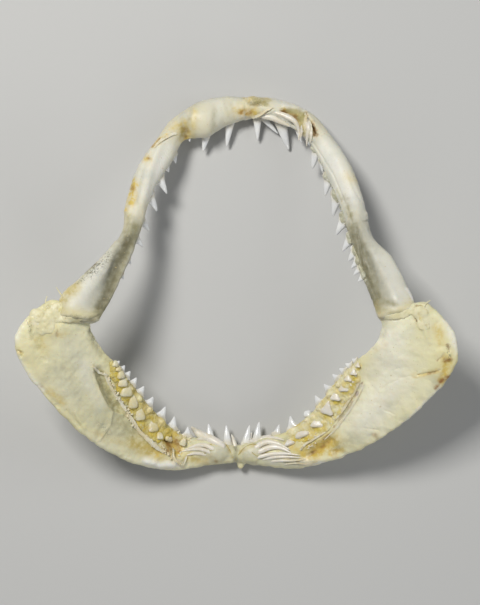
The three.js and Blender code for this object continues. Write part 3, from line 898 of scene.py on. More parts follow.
lowerStrokes = {
    "bump": [
        ([(92.4, 368), (95.8, 380), (100.6, 393), (106.8, 405.6), (112.5, 411.5), (123, 415)], 1.5, 1.2),
        ([(99, 372), (104, 385), (110, 397), (117, 407)], 4.5, -2.6),
        ([(124, 420), (134, 430), (142, 440)], 7, -1.2),
        ([(112, 413), (110.5, 424), (104, 434), (99.5, 440)], 1.3, 0.7),
        ([(108, 413), (105, 424), (98, 434)], 2.2, -0.5), ([(168, 438), (173, 444), (178, 450)], 4.5, -3.2),
        ([(160, 440), (163, 447)], 3, 0.8), ([(147, 461), (160, 465), (174, 464)], 3.2, 1.4),
        ([(140, 452), (152, 456)], 5, -0.8), ([(33, 318), (44, 326), (52, 330)], 5, 0.9),
        ([(39, 332), (37, 348)], 4.5, -0.9), ([(51, 303), (54, 306)], 4.5, -1.8),
        ([(419.5, 313), (421, 322), (427, 336)], 2.6, 1),
        ([(424.5, 313), (428, 326), (433, 340)], 2.4, -0.6), ([(62, 330), (80, 336), (92, 345)], 9, 0.7),
        ([(50, 350), (62, 366), (74, 378)], 14, -0.9), ([(26, 345), (34, 362), (44, 378)], 4, 0.6),
        ([(60, 370), (68, 400), (90, 424)], 6, 0.5), ([(40, 386), (48, 396), (58, 406)], 2.4, -0.8),
        ([(75, 412), (79, 420), (85, 428)], 1.6, 0.8), ([(91, 332), (94, 340), (99, 348)], 2.2, -1.1),
        ([(100, 350), (112, 364), (122, 372)], 4, -0.6),
        ([(236, 444), (235, 450), (233.5, 458)], 1.6, -1.3), ([(235, 441), (235.5, 464)], 2.2, -0.9),
        ([(191, 458), (206, 460)], 4, -0.6),
        ([(366, 384), (361, 396), (353, 410), (344, 420), (334, 430)], 3.4, 0.5),
        ([(310, 454), (318, 449), (329, 441.5)], 4.8, -4.2), ([(332, 452), (338, 450)], 3.2, -1.5),
        ([(304, 448), (316, 441), (330, 434)], 2.2, 1), ([(300, 461), (320, 460), (340, 456)], 2.6, 0.9),
        ([(426, 312), (425, 325), (430, 340)], 4, 0.8), ([(436, 324), (439, 336), (440, 346)], 5, -0.8),
        ([(447, 362), (446, 370), (441, 380)], 3.2, -1), ([(372, 436), (378, 441)], 2.2, -0.9),
        ([(340, 440), (356, 436), (372, 426)], 5, 0.5), ([(400, 330), (392, 350), (376, 366)], 10, 0.8),
        ([(420, 360), (408, 388), (386, 410)], 13, -0.8), ([(383, 320), (384, 334), (380, 342)], 2.5, -0.9),
    ],
    "crack": [
        ([(30, 320), (31, 334)], 1.5, -1.1), ([(44.5, 304), (49, 312), (55, 317)], 1.2, -0.8),
        ([(57, 328), (57, 339)], 1.2, -0.4), ([(17, 351), (22, 353), (21, 357)], 1.3, -1.4),
        ([(42, 358), (46, 361)], 2, -0.8), ([(66, 410), (80, 426)], 1.4, -0.5),
        ([(207, 452), (214, 450)], 0.9, -0.6), ([(247, 452), (250, 456)], 0.8, -0.6),
        ([(253, 452.5), (258, 456.5)], 0.9, -0.8),
        ([(362.5, 382), (358, 393), (351, 405), (343, 416), (334, 427)], 1.2, -0.7),
        ([(331, 433), (323.5, 439)], 1.1, -1.3),
        ([(388, 316), (394, 319.5), (406, 316), (414, 312)], 1.1, -1.1),
        ([(417, 305), (421, 306.5)], 2, -2.6),
        ([(414.4, 314.4), (416.7, 319.8), (420.5, 324.4)], 1.3, -1.2),
        ([(448, 345), (449.3, 351)], 1.3, -1.3), ([(438, 360), (444, 354)], 1.5, -0.9),
        ([(416.7, 375.6), (425.9, 373.7), (433.6, 372.6), (439.7, 370.3)], 1.1, -1.1),
        ([(400, 378), (412, 376)], 0.8, -0.5), ([(392, 371), (399, 368)], 0.8, -0.5),
        ([(380, 390), (388, 384), (397, 380)], 0.8, -0.5), ([(395, 407), (400, 399)], 0.8, -0.5),
        ([(383, 410), (391, 413), (394, 415)], 0.8, -0.55), ([(364, 428), (378, 430)], 0.9, -0.5),
    ],
}
lowerStainsAndPaintedLight = {
    # Painted shade in the cracks and grooves near the joints and edges.
    "mouldAndPaintedShade": [
        ([(43, 304), (48, 309)], 2, 0.6), ([(29, 322), (31, 334)], 2, 0.5),
        ([(91, 328), (95, 340)], 2.4, 0.7), ([(414, 312), (419, 322)], 2.4, 0.6),
        ([(448, 346), (450, 360)], 2, 0.5), ([(100, 424), (108, 432)], 3, 0.25),
    ],
    "cream": [
        ([(140, 448), (160, 456), (176, 460)], 10, 0.6), ([(44, 306), (52, 326), (44, 340)], 10, 0.35),
        ([(420, 306), (428, 326)], 9, 0.4), ([(24, 344), (44, 380), (70, 412)], 7, 0.5),
        ([(110, 350), (126, 372)], 6, 0.4), ([(200, 458), (216, 460)], 7, 0.5),
    ],
    "ochre": [
        ([(122, 376), (140, 400), (158, 424)], 8, 0.75), ([(160, 424), (176, 438)], 8, 0.9),
        ([(134, 442), (160, 454)], 7.5, 0.85), ([(168, 439), (177, 450)], 6.5, 1.4),
        ([(188, 457), (206, 460)], 4.5, 0.7), ([(34, 320), (50, 330)], 6, 0.4),
        ([(48, 314), (60, 312)], 4.5, 0.55), ([(40, 340), (46, 352)], 5, 0.3),
        ([(50, 392), (62, 402)], 4.5, 0.5), ([(20, 352)], 3.2, 0.6), ([(96, 434), (120, 442)], 5, 0.35),
        ([(60, 336), (66, 334)], 4, 0.35), ([(307, 455), (318, 449), (331, 441.5)], 8.5, 1.25),
        ([(312, 452), (326, 445)], 5, 1.5), ([(332, 453), (340, 449)], 4.5, 0.85),
        ([(296, 432), (312, 420)], 8, 0.75), ([(318, 410), (338, 386), (352, 370)], 8, 0.7),
        ([(352, 376), (358, 366)], 4, 0.85), ([(290, 446), (304, 452)], 5, 0.6),
        ([(438, 328), (441, 342)], 5.5, 0.5), ([(447, 360), (446, 372), (442, 380)], 5, 0.9),
        ([(414, 376), (438, 371)], 2.6, 0.6), ([(375, 436)], 3.8, 0.6),
        ([(417, 312), (420, 326)], 3.2, 0.5), ([(386, 344), (376, 350)], 3, 0.4),
        ([(424, 312), (426, 322)], 2.5, 0.45), ([(216, 461)], 2.6, 0.7),
        ([(227, 446), (232, 456)], 1.6, 0.6), ([(240, 452), (256, 445), (268, 454)], 1.3, 0.75),
        ([(204, 449), (212, 444), (224, 443)], 1.3, 0.75), ([(338, 418), (356, 394)], 2, 0.5),
    ],
    "brown": [
        ([(167, 440), (171, 450)], 3.4, 0.7), ([(176, 440), (179, 450)], 2.4, 0.75),
        ([(168, 452)], 2.6, 0.7), ([(216, 461)], 1.6, 0.5), ([(310, 454), (316, 451)], 2.2, 0.5),
        ([(322, 447), (330, 441)], 2, 0.5), ([(445, 361), (451, 359.5)], 2.2, 0.6),
        ([(440, 382), (449, 376)], 2.4, 0.75), ([(435.5, 388), (439, 384)], 1.6, 0.8),
        ([(414.4, 314.4), (416.7, 319.8), (420.5, 324.4)], 1.1, 0.7), ([(418, 306)], 1.8, 0.9),
        ([(428, 373.5), (438, 371)], 1, 0.6), ([(375.3, 435)], 1.7, 0.5),
        ([(44.5, 304), (49, 312), (53, 316.5)], 0.9, 0.5), ([(20, 352)], 1.4, 0.55),
        ([(42, 387)], 1.6, 0.5), ([(334, 453), (338, 450)], 1.8, 0.45),
        ([(447.5, 345), (449, 351)], 1, 0.5), ([(437.5, 360), (444, 355)], 1, 0.45),
        ([(57, 329), (57, 338)], 0.8, 0.25), ([(362.5, 382), (351, 405), (334, 427)], 0.9, 0.8),
        ([(331, 433), (323.5, 439)], 0.8, 0.7),
    ],
    "grey": [
        ([(56, 372), (84, 404), (112, 432)], 16, 0.35), ([(208, 453), (228, 453)], 11, 0.55),
        ([(236, 446), (236, 460)], 5, 0.5), ([(246, 453), (258, 455)], 9, 0.4),
        ([(392, 404), (352, 438)], 6, 0.2), ([(262, 461), (298, 464)], 5, 0.6),
        ([(200, 454), (230, 458)], 6, 0.35), ([(72, 348), (84, 392)], 18, 0.3),
        ([(240, 462), (262, 464)], 4, 0.4),
    ],
    # Painted shade in the groove between the front domes, along the trough and in a crack.
    "paintedShade": [
        ([(308, 455), (312, 453)], 1.6, 0.25), ([(235.5, 444), (235.5, 460)], 1.6, 0.35),
        ([(97, 372), (103, 388), (110, 402)], 2.5, 0.3), ([(90, 330), (93, 338)], 2, 0.4),
    ],
    "olive": [
        ([(99, 374), (104, 387), (110, 399), (117, 408)], 6, 0.8),
        ([(118, 424), (130, 432), (142, 440)], 11, 0.5), ([(95, 345), (104, 356), (116, 366)], 4, 0.45),
        ([(60, 368), (78, 392)], 14, 0.22), ([(200, 456), (192, 458)], 4, 0.4),
        ([(350, 405), (341, 417)], 1.8, 0.6), ([(340, 446), (352, 438)], 6, 0.35),
        ([(384, 322), (383, 336)], 3.5, 0.4), ([(90, 336), (95, 346)], 3.5, 0.45),
        ([(150, 438), (158, 446)], 5, 0.4), ([(235.5, 444), (235.5, 462)], 2.5, 0.35),
        ([(31, 322), (32, 336)], 2, 0.4), ([(40, 333), (38, 347)], 4, 0.35),
        ([(395, 402), (384, 412)], 9, 0.16),
    ],
    # White torn membrane and a pale peeled patch, and painted highlight along the outer rims, on the domes
    # and over the broad right plate.
    "whiteAndPaintedHighlight": [
        ([(146, 461), (160, 465.5), (176, 464)], 4, 0.8), ([(84, 366), (90, 386), (100, 402)], 7, 0.35),
        ([(14, 340), (22, 316), (34, 306)], 4, 0.55), ([(12, 350), (26, 372), (42, 390)], 2.6, 0.55),
        ([(448, 320), (458, 348)], 6, 0.6), ([(36, 322), (48, 328)], 4, 0.45),
        ([(372, 372), (384, 392)], 12, 0.3), ([(388, 340), (394, 384), (364, 420)], 22, 0.5),
        ([(300, 463), (322, 463)], 3, 0.6), ([(214, 449), (222, 448)], 4, 0.3),
        ([(248, 452), (258, 450)], 5, 0.45), ([(362, 386), (352, 408), (340, 424)], 2.4, 0.5),
        ([(424, 310), (428, 324)], 2.2, 0.45), ([(404, 424), (420, 408), (440, 390)], 2.2, 0.5),
        ([(270, 460), (296, 460)], 4, 0.5),
    ],
}
# Dents all over, or along the edges only: their spacing and height in metres, the seed, how wide the edge is.
bothDents = [(0.03, 0.00022, 11), (0.006, 0.00012, 12, 0.7)]
lowerDents = [(0.016, 0.00022, 14), (0.009, 0.00012, 13)]
jawSurfaces = (
    (upperJaw, bothDents, upperStrokes, upperStainsAndPaintedLight),
    (lowerJaw, bothDents + lowerDents, lowerStrokes, lowerStainsAndPaintedLight),
)
for jaw, dents, strokes, stainsAndPaintedLight in jawSurfaces:
    for dent in dents:
        roughen(jaw, *dent)
    carve(jaw, strokes)
    # Stains, painted shade and painted highlight become masks on the jaw.
    for stainOrPaintedLight, spots in stainsAndPaintedLight.items():
        paint(jaw, stainOrPaintedLight, spots)
    smoothShade(jaw, 80)
dress(upperJaw, "upperCartilage", "upper_cartilage", "upper_jaw_left", "upper_jaw_right", "upper_symphysis")
dress(lowerJaw, "lowerCartilage", "lower_cartilage", "lower_jaw_left", "lower_jaw_right", "lower_symphysis")
print("cartilage carved and stained")

# Teeth are modelled once at unit height and width, crown along +Z, and copied along each crest.
# A level is its height, width and thickness, and the bend is the crown's sway early on and at the tip.
toothModels = {
    "fang": {
        "levels": [
            (-0.34, 0.5, 0.62), (-0.26, 0.95, 0.8), (-0.12, 1.16, 0.88), (0, 1.12, 0.86), (0.12, 0.98, 0.8),
            (0.3, 0.82, 0.7), (0.5, 0.67, 0.58), (0.7, 0.49, 0.44), (0.87, 0.29, 0.28), (0.975, 0.1, 0.11),
        ],
        "bend": (0.03, -0.16),
        "sides": 16,
        "square": 0.9,
    },
    "blade": {
        "levels": [
            (-0.4, 0.9, 0.45), (-0.3, 1.3, 0.55), (-0.12, 1.5, 0.58), (0, 1.42, 0.56), (0.1, 1.14, 0.52),
            (0.22, 0.84, 0.47), (0.4, 0.62, 0.4), (0.6, 0.46, 0.32), (0.78, 0.31, 0.25), (0.92, 0.16, 0.16),
            (0.985, 0.05, 0.06),
        ],
        "bend": (0.05, -0.12),
        "sides": 16,
        "square": 0.9,
    },
    "crescent": {
        "levels": [
            (-0.06, 0.4, 0.5), (0, 0.72, 0.8), (0.1, 0.94, 1), (0.28, 1, 1), (0.5, 0.88, 0.86),
            (0.7, 0.66, 0.66), (0.86, 0.4, 0.42), (0.97, 0.13, 0.14),
        ],
        "bend": (0, 0),
        "sides": 14,
        "square": 0.85,
    },
    "waiting": {
        "levels": [
            (-0.08, 0.6, 0.5), (-0.02, 1, 0.9), (0.08, 1.14, 1), (0.2, 1.02, 0.9), (0.36, 0.76, 0.74),
            (0.56, 0.54, 0.56), (0.76, 0.36, 0.4), (0.92, 0.18, 0.2), (1, 0.07, 0.08),
        ],
        "bend": (0.1, -0.3),
        "sides": 16,
        "square": 0.75,
    },
    "block": {
        "levels": [
            (-0.05, 0.55, 0.5), (0, 0.84, 0.84), (0.1, 0.98, 1), (0.35, 1, 1), (0.62, 0.95, 0.96),
            (0.84, 0.84, 0.8), (0.96, 0.6, 0.55), (1, 0.3, 0.28),
        ],
        "bend": (0.05, -0.12),
        "sides": 16,
        "square": 0.6,
    },
    "wedge": {
        "levels": [
            (-0.05, 0.55, 0.5), (0, 0.92, 0.86), (0.08, 1.08, 1), (0.25, 1.06, 1), (0.45, 0.94, 0.92),
            (0.65, 0.76, 0.8), (0.82, 0.56, 0.6), (0.94, 0.34, 0.38), (1, 0.14, 0.16),
        ],
        "bend": (0.12, -0.2),
        "sides": 16,
        "square": 0.68,
    },
}


def squarer(value, power):
    # A sine or cosine pushed outwards, so that a ring made of it is squarer than an ellipse.
    return math.copysign(abs(value) ** power, value)


def makeTooth(name):
    model = toothModels[name]
    early, late = model["bend"]
    rings = []
    for level, wide, thick in model["levels"]:
        bend = early * math.sin(math.pi * max(level, 0)) + late * max(level, 0) ** 2
        ring = []
        for i in range(model["sides"]):
            turn = 2 * math.pi * i / model["sides"]
            keen = squarer(math.cos(turn), model["square"])
            flat = squarer(math.sin(turn), model["square"])
            notch = 0.07 * math.exp(-((math.cos(turn) / 0.3) ** 2)) if level < 0 else 0
            ring.append((keen * wide / 2, flat * thick / 2 + bend, level + notch))
        rings.append(ring)
    tooth = loftRings(name, rings)
    finishWith(tooth, "SUBSURF", levels=1, render_levels=1)
    places = readPlaces(tooth)
    layer = tooth.data.attributes.new("crownShare", "FLOAT", "POINT")
    layer.data.foreach_set("value", np.clip(places[:, 2], 0, 1))
    return tooth


toothMasters = {name: makeTooth(name) for name in toothModels}


def copyTooth(kind):
    # The copy gets its own mesh.
    copy = toothMasters[kind].copy()
    copy.data = toothMasters[kind].data.copy()
    bpy.context.scene.collection.objects.link(copy)
    return copy


def setTooth(kind, foot, crownWay, innerWay, high, wide, thick):
    # The foot is in metres and the sizes are in mm.
    z = unit(np.asarray(crownWay, float))
    y = unit(np.asarray(innerWay, float) - z * (np.asarray(innerWay, float) @ z))
    x = np.cross(y, z)
    place = Matrix.Identity(4)
    for column, (way, size) in enumerate(((x, wide), (y, thick), (z, high))):
        for row in range(3):
            place[row][column] = way[row] * size * mm
    for row in range(3):
        place[row][3] = foot[row]
    copy = copyTooth(kind)
    copy.data.transform(place)
    return copy


# A tooth is slender when its foot is narrower than this share of its height. Feet sink into the bar, in mm,
# but for the lower blades, which stand proud of it. The side cusp is in shares of its tooth.
toothFit = {"slender": 0.62, "sunk": 0.8, "lowerBladeSunk": -0.4}
sideCusp = {"beside": 0.42, "high": 0.5, "wide": 0.5, "thick": 0.6}


def workingTeeth(key):
    half = halfJaws[key]
    made = []
    for share, high, lean, wide, *named in half["teeth"]:
        bar = barFrame(half, share)
        flat = unit(np.array([bar["toCrest"][0], bar["toCrest"][1], 0]))
        turnsLeft = flat[0] * bar["toJoint"][1] - flat[1] * bar["toJoint"][0] > 0
        angle = math.radians(lean if turnsLeft else -lean)
        slope = bar["toCrest"][2] / math.hypot(bar["toCrest"][0], bar["toCrest"][1])
        way = np.array([
            flat[0] * math.cos(angle) - flat[1] * math.sin(angle),
            flat[0] * math.sin(angle) + flat[1] * math.cos(angle),
            slope / 2,
        ])
        slender = wide < toothFit["slender"] * high
        kind = named[0] if named else "fang" if slender else "blade"
        lowerBlade = kind == "blade" and key.startswith("lower")
        sunk = toothFit["lowerBladeSunk"] if lowerBlade else toothFit["sunk"]
        foot = (bar["middle"] + bar["toCrest"] * (bar["width"] / 2 - sunk)) * mm
        thick = wide if slender else wide + 1
        made.append(setTooth(kind, foot, way, bar["toTongue"], high + sunk, wide, thick))
        if key == "upperRight" and not slender:
            # A small side cusp on the same root, towards the middle.
            beside = foot - bar["toJoint"] * wide * sideCusp["beside"] * mm
            sizes = (high * sideCusp["high"], wide * sideCusp["wide"], wide * sideCusp["thick"])
            made.append(setTooth(kind, beside, way, bar["toTongue"], *sizes))
    return made


toothNodes = {
    "upperLeft": "upper_jaw_left",
    "upperRight": "upper_jaw_right",
    "lowerLeft": "lower_jaw_left",
    "lowerRight": "lower_jaw_right",
}
for key, node in toothNodes.items():
    teeth = joinPieces("workingTeeth" + key[0].upper() + key[1:], workingTeeth(key))
    smoothShade(teeth, 70)
    dress(teeth, "toothEnamel", "tooth", node)
print("working teeth set")

# Small pieces are set on the jaws by where they show in the photo.
jawSurface = {
    "upper": BVHTree.FromObject(upperJaw, bpy.context.evaluated_depsgraph_get()),
    "lower": BVHTree.FromObject(lowerJaw, bpy.context.evaluated_depsgraph_get()),
}


def onJaw(jaw, spot, lift=0):
    # The place on the jaw behind a photo spot, and the way out of the jaw there.
    # Where the spot shows no jaw, the place is the one behind it that comes nearest to the jaw.
    start, way = photoRay(spot)
    place, normal, _, _ = jawSurface[jaw].ray_cast(start, way)
    if place is None:
        near = []
        for height in range(0, 105, 5):
            probe = start + way * ((start.z - height * mm) / -way.z)
            _, normal, _, gap = jawSurface[jaw].find_nearest(probe)
            near.append((gap, probe, normal))
        _, place, normal = min(near, key=lambda entry: entry[0])
    normal = np.array(normal)
    if normal[2] < 0.2:
        normal = unit(normal + (0, 0, 0.8 - normal[2]))
    return np.array(place) + normal * lift * mm, normal


def photoWay(jaw, start, end):
    # The way along the jaw from one photo spot towards another.
    first, normal = onJaw(jaw, start)
    depth = cameraView["place"][2] - first[2]
    way = np.array([(end[0] - start[0]) * depth, (start[1] - end[1]) * depth, 0]) * pixelAngle
    if abs(normal[2]) > 0.3:
        way[2] = -(way[0] * normal[0] + way[1] * normal[1]) / normal[2]
    return way, normal


# Thickness and waver are in mm, and the ragged part of the edge is a share of the width.
ribbonShape = {"columns": 5, "thick": 0.35, "ragged": 0.25, "waver": 0.12}


def ribbon(name, jaw, path, widths, lifts, curl):
    # A torn strip of membrane: a grid laid along the path, its edges ragged, then given its thickness.
    steps = max(12, 3 * len(path))
    columns = ribbonShape["columns"]
    nothingSelected()
    bpy.ops.mesh.primitive_grid_add(x_subdivisions=columns - 1, y_subdivisions=steps - 1, size=0.01)
    strip = bpy.context.active_object
    strip.name = name
    spots = [alongCurve([(x, y, 0) for x, y in path], s / (steps - 1))[:2] for s in range(steps)]
    places = []
    for s, spot in enumerate(spots):
        share = s / (steps - 1)
        before = spots[max(s - 1, 0)]
        after = spots[min(s + 1, steps - 1)]
        middle, normal = onJaw(jaw, spot)
        along, _ = photoWay(jaw, before, after)
        side = unit(np.cross(normal, along))
        width = np.interp(share, np.linspace(0, 1, len(widths)), widths) * mm
        lift = np.interp(share, np.linspace(0, 1, len(lifts)), lifts) * mm
        for c in range(columns):
            across = 2 * c / (columns - 1) - 1
            fringe = 1 + ribbonShape["ragged"] * chance.uniform(-1, 1) * abs(across)
            rise = lift + curl * mm * across * across + ribbonShape["waver"] * mm * chance.uniform(-1, 1)
            places.append(middle + side * across * width / 2 * fringe + normal * rise)
    writePlaces(strip, np.array(places))
    finishWith(strip, "SOLIDIFY", thickness=ribbonShape["thick"] * mm, offset=0)
    finishWith(strip, "SUBSURF", levels=1, render_levels=1)
    faceOutwards(strip)
    smoothShade(strip, 70)
    return strip


def strand(name, jaw, path, radius, lift, tipShare=0.3, sides=7):
    # A thin tapering fibre through photo spots, each with its own height over the jaw.
    steps = max(6, 3 * len(path))
    points = [onJaw(jaw, spot, rise)[0] for spot, rise in zip(path, lift)]
    line = [alongCurve(points, s / (steps - 1)) for s in range(steps)]
    rings = []
    for s, middle in enumerate(line):
        along = unit(line[min(s + 1, steps - 1)] - line[max(s - 1, 0)])
        side = unit(np.cross(along, (0.1, 0.2, 1)))
        up = np.cross(side, along)
        size = radius * mm * (1 - (1 - tipShare) * s / (steps - 1))
        turns = [2 * math.pi * i / sides for i in range(sides)]
        rings.append([middle + (side * math.cos(t) + up * math.sin(t)) * size for t in turns])
    return loftRings(name, rings)


# Waiting teeth lie in rows behind the working ones: model, look, lift in mm, how far the tip dives.
waitingKinds = {
    "lowerLeft": ("wedge", "waitingCrown", 1.8, 0.1),
    "lowerRight": ("waiting", "paleCrown", 1.6, 0.05),
}
# Each is its root's place, width and length in pixels, and turn from up in degrees.
waitingRows = {
    "lowerLeft": [
        (152.6, 431, 10.5, 16, -2), (140, 418.6, 9.5, 14, 0), (132.2, 406.6, 9.5, 13, 4),
        (125, 395.2, 12.5, 12, 8), (121.6, 385.8, 9.5, 10, 8), (119.4, 377.4, 8, 8.5, 8),
        (116.6, 371.4, 6.8, 7, 10), (113.6, 366, 6.2, 6.4, 12), (166.4, 441, 9.5, 13.5, 12),
        (159, 439.6, 6.8, 8.5, -6), (181.4, 444.6, 6.5, 9, 24),
    ],
    "lowerRight": [
        (317.6, 426.6, 13, 12.5, 2), (327.4, 412, 13, 11.5, 4), (336.2, 399.4, 10.5, 10, 2),
        (344.4, 390, 10, 9.5, -6), (348.8, 380.2, 8, 7, -4), (354.4, 373.6, 7, 6, 0),
        (359, 366.2, 5.5, 4.5, 0), (303.5, 437, 15, 12.5, -12), (290.5, 445.4, 11, 6.5, -15),
    ],
}
waitingThick = {"least": 2.2, "perPixel": 0.17}
for key, rows in waitingRows.items():
    copies = []
    kind, look, lifted, dive = waitingKinds[key]
    for x, y, wide, long, turn in rows:
        angle = math.radians(turn + chance.uniform(-4, 4))
        aim = (x + math.sin(angle) * 10, y - math.cos(angle) * 10)
        way, normal = photoWay("lower", (x, y), aim)
        foot, _ = onJaw("lower", (x, y), lifted)
        pixelSize = (cameraView["place"][2] - foot[2]) * pixelAngle / mm
        high = long * pixelSize * (np.linalg.norm(way) / np.linalg.norm(way[:2]))
        thick = waitingThick["least"] + waitingThick["perPixel"] * wide
        sinking = unit(way) - normal * dive
        copies.append(setTooth(kind, foot, sinking, normal, high, wide * pixelSize, thick))
    teeth = joinPieces("waitingTeeth" + key[0].upper() + key[1:], copies)
    smoothShade(teeth, 70)
    dress(teeth, look, "tooth")
print("waiting teeth set")

# Loose fangs lie along the front of both jaws: photo spots from root to tip, width in mm, lift in mm.
lyingFangs = {
    "lowerLeft": (
        "lower",
        [
            ([(224, 446), (212, 440.6), (201, 436), (195, 431.6), (190.4, 427.4)], 7.4, 1),
            ([(220, 444), (207, 440), (195.5, 440.2)], 4.2, 0.4),
            ([(214, 449), (204.5, 445.2), (195, 446), (183.2, 450.9)], 3.9, 0.5),
            ([(210, 452.4), (201, 449.4), (192, 449.8), (179.6, 453.2)], 3.3, 0.8),
            ([(207, 456), (196, 453.4), (185, 455.4)], 2.8, 0.2),
            ([(236, 448), (234, 441), (231.4, 433.4)], 3.6, -0.6),
        ],
    ),
    "lowerRight": (
        "lower",
        [
            ([(245, 446), (255, 440.4), (264, 437.8), (273.5, 435.6)], 3.8, 0.5),
            ([(255, 447), (266, 442.4), (277.5, 443.4), (292, 451)], 4.8, 0.6),
            ([(259, 452.4), (270, 447.6), (280.5, 448.2), (294, 453.8)], 4.8, 1),
            ([(257.5, 457.4), (270, 454.2), (285, 453.4), (302, 455.2)], 3.3, 0.8),
            ([(261, 460.2), (276, 457), (289, 456.6), (303.5, 458)], 2.7, 0.4),
            ([(267, 462.6), (282, 460.4), (297, 461)], 2.4, 0.2),
            ([(252, 442.6), (262, 438.6), (277, 438.4), (286, 441)], 3.4, 0.1),
            ([(250, 446), (249.8, 439), (251.8, 431.6)], 4, -0.6),
        ],
    ),
    "upper": (
        "upper",
        [
            ([(261, 115.4), (271, 117.2), (282, 121.8), (292.5, 127)], 5, 0.3),
            ([(274, 113), (286, 116.2), (294.6, 121), (299.4, 130), (299.4, 142)], 4.4, 0.7),
            ([(303, 125), (302.6, 131), (301.2, 138.4)], 3, 0.5),
            ([(305.6, 118), (308.8, 128), (308.6, 138), (307.4, 147)], 3.8, 0.8),
            ([(311, 126), (311.4, 134), (310.8, 142.4)], 2.6, 0.7),
        ],
    ),
}


def lieAlong(kind, line, face, wide):
    # A copied tooth bent along a line of places, root first.
    copy = copyTooth(kind)
    length = sum(np.linalg.norm(b - a) for a, b in zip(line, line[1:]))
    bent = []
    for x, y, level in readPlaces(copy):
        share = min(max(level, 0), 1)
        along = unit(alongCurve(line, min(share + 0.03, 1)) - alongCurve(line, max(share - 0.03, 0)))
        side = unit(np.cross(face, along))
        up = np.cross(along, side)
        middle = alongCurve(line, share) + along * (level - share) * length
        bent.append(middle + (side * x + up * y) * wide * mm)
    writePlaces(copy, np.array(bent))
    return copy


for name, (jaw, fangs) in lyingFangs.items():
    copies = []
    for path, wide, lift in fangs:
        rises = np.interp(np.linspace(0, 1, len(path)), (0, 0.35, 1), (lift - 2.2, lift, lift + 0.4))
        line = [onJaw(jaw, spot, rise)[0] for spot, rise in zip(path, rises)]
        _, face = onJaw(jaw, path[1])
        copies.append(lieAlong("crescent", line, face, wide))
    fangPiece = joinPieces(name + "LyingFangs", copies)
    smoothShade(fangPiece, 70)
    dress(fangPiece, "paleCrown", "tooth")
print("lying fangs set")

# Thin rims of dried membrane run over the two domes that cover the roots of the lower lying fangs.
# Path in the photo, radius in mm, lift in mm, share of the radius left at the tip.
domeRims = [
    ([(201, 451), (207.5, 446.4), (215, 442.8), (221.5, 442.4), (226.5, 445.6), (230, 451), (233, 458)],
     0.42, 0.12, 0.8),
    ([(236, 460), (239, 454), (243, 449), (249.5, 445), (256, 444.4), (262, 448.6), (268.5, 453.6)],
     0.42, 0.12, 0.8),
    ([(252, 452.4), (256, 455.6), (262, 457), (272, 455.8)], 0.3, 0.1, 0.6),
    ([(204, 453.6), (210.5, 450.6), (217, 450)], 0.25, 0.1, 0.6),
]
rims = []
for path, radius, lift, tipShare in domeRims:
    rims.append(strand("rim", "lower", path, radius, [lift] * len(path), tipShare))
rimPiece = joinPieces("domeRims", rims)
smoothShade(rimPiece, 70)
dress(rimPiece, "tornRim", "gum")

# Gum: a lumpy band along the crest of three half jaws, swelling over the bar's face by so many mm.
# At each share of the crest, its outer edge lies at a share of the bar's half width.
# Valleys are painted shade in the gum's grooves.
gumBands = {
    "lowerLeft": {
        "swell": 1.45,
        "look": "driedGum",
        "shares": (0.275, 0.31, 0.35, 0.41, 0.465, 0.545, 0.58),
        "outer": (0.5, 0.1, 0.06, 0.34, 0.47, 0.64, 0.88),
        "paintedValleyShades": [
            ([(150, 440), (160, 446)], 4, 0.7), ([(112, 372), (122, 392)], 2, 0.4),
            ([(164, 440), (178, 448)], 7, 1),
        ],
        "hollows": [
            ([(169, 441), (171, 449)], 3.2, 0.9), ([(176, 441), (178, 449)], 2.8, 1),
            ([(170, 452)], 2, 0.8),
        ],
    },
    "lowerRight": {
        "swell": 1.3,
        "look": "paleGum",
        "shares": (0.215, 0.27, 0.33, 0.38, 0.425, 0.5, 0.55),
        "outer": (0.45, 0.15, 0, 0.15, 0.31, 0.53, 0.88),
        "paintedValleyShades": [
            ([(355, 377), (351, 387)], 3.4, 0.9), ([(331, 424), (339, 412)], 2.6, 0.5),
            ([(296, 440), (304, 446)], 5, 0.8),
        ],
        "hollows": [],
    },
    "upperRight": {
        "swell": 0.3,
        "look": "edgeGum",
        "shares": (0.3, 0.6, 0.88),
        "outer": (0.82, 0.74, 0.8),
        "paintedValleyShades": [([(350, 240), (357, 254), (362, 270)], 1.4, 0.15)],
        "hollows": [],
    },
}
gumShape = {
    "rings": 90,
    "sides": 20,
    "taperRings": 8,
    "endHeight": 0.15,
    "sunkDepth": 1.4,
    "crestReach": 0.995,
    "footShare": 0.88,
    "footSunk": 0.9,
    "voxel": 0.0006,
    "smoothing": 9,
    "lumps": [(0.01, 0.00035, 21), (0.004, 0.0002, 22)],
}


def gumLoft(half, band):
    # Each ring reaches from the band's outer edge to the crest.
    start, *_, end = band["shares"]
    last = gumShape["rings"] - 1
    rings = []
    for s in range(gumShape["rings"]):
        share = start + (end - start) * s / last
        bar = barFrame(half, share)
        outer = np.interp(share, band["shares"], band["outer"])
        taper = min(1, s / gumShape["taperRings"], (last - s) / gumShape["taperRings"]) ** 0.5
        ring = []
        for i in range(gumShape["sides"]):
            turn = 2 * math.pi * i / gumShape["sides"]
            across = (1 + outer) / 2 + (1 - outer) / 2 * math.cos(turn)
            height = gumShape["endHeight"] + (1 - gumShape["endHeight"]) * taper
            lift = height * band["swell"] * math.sin(turn)
            if math.sin(turn) < 0:
                lift *= gumShape["sunkDepth"]
            ring.append(tonguePoint(bar, min(across, gumShape["crestReach"]), lift) * mm)
        rings.append(ring)
    return loftRings("band", rings)


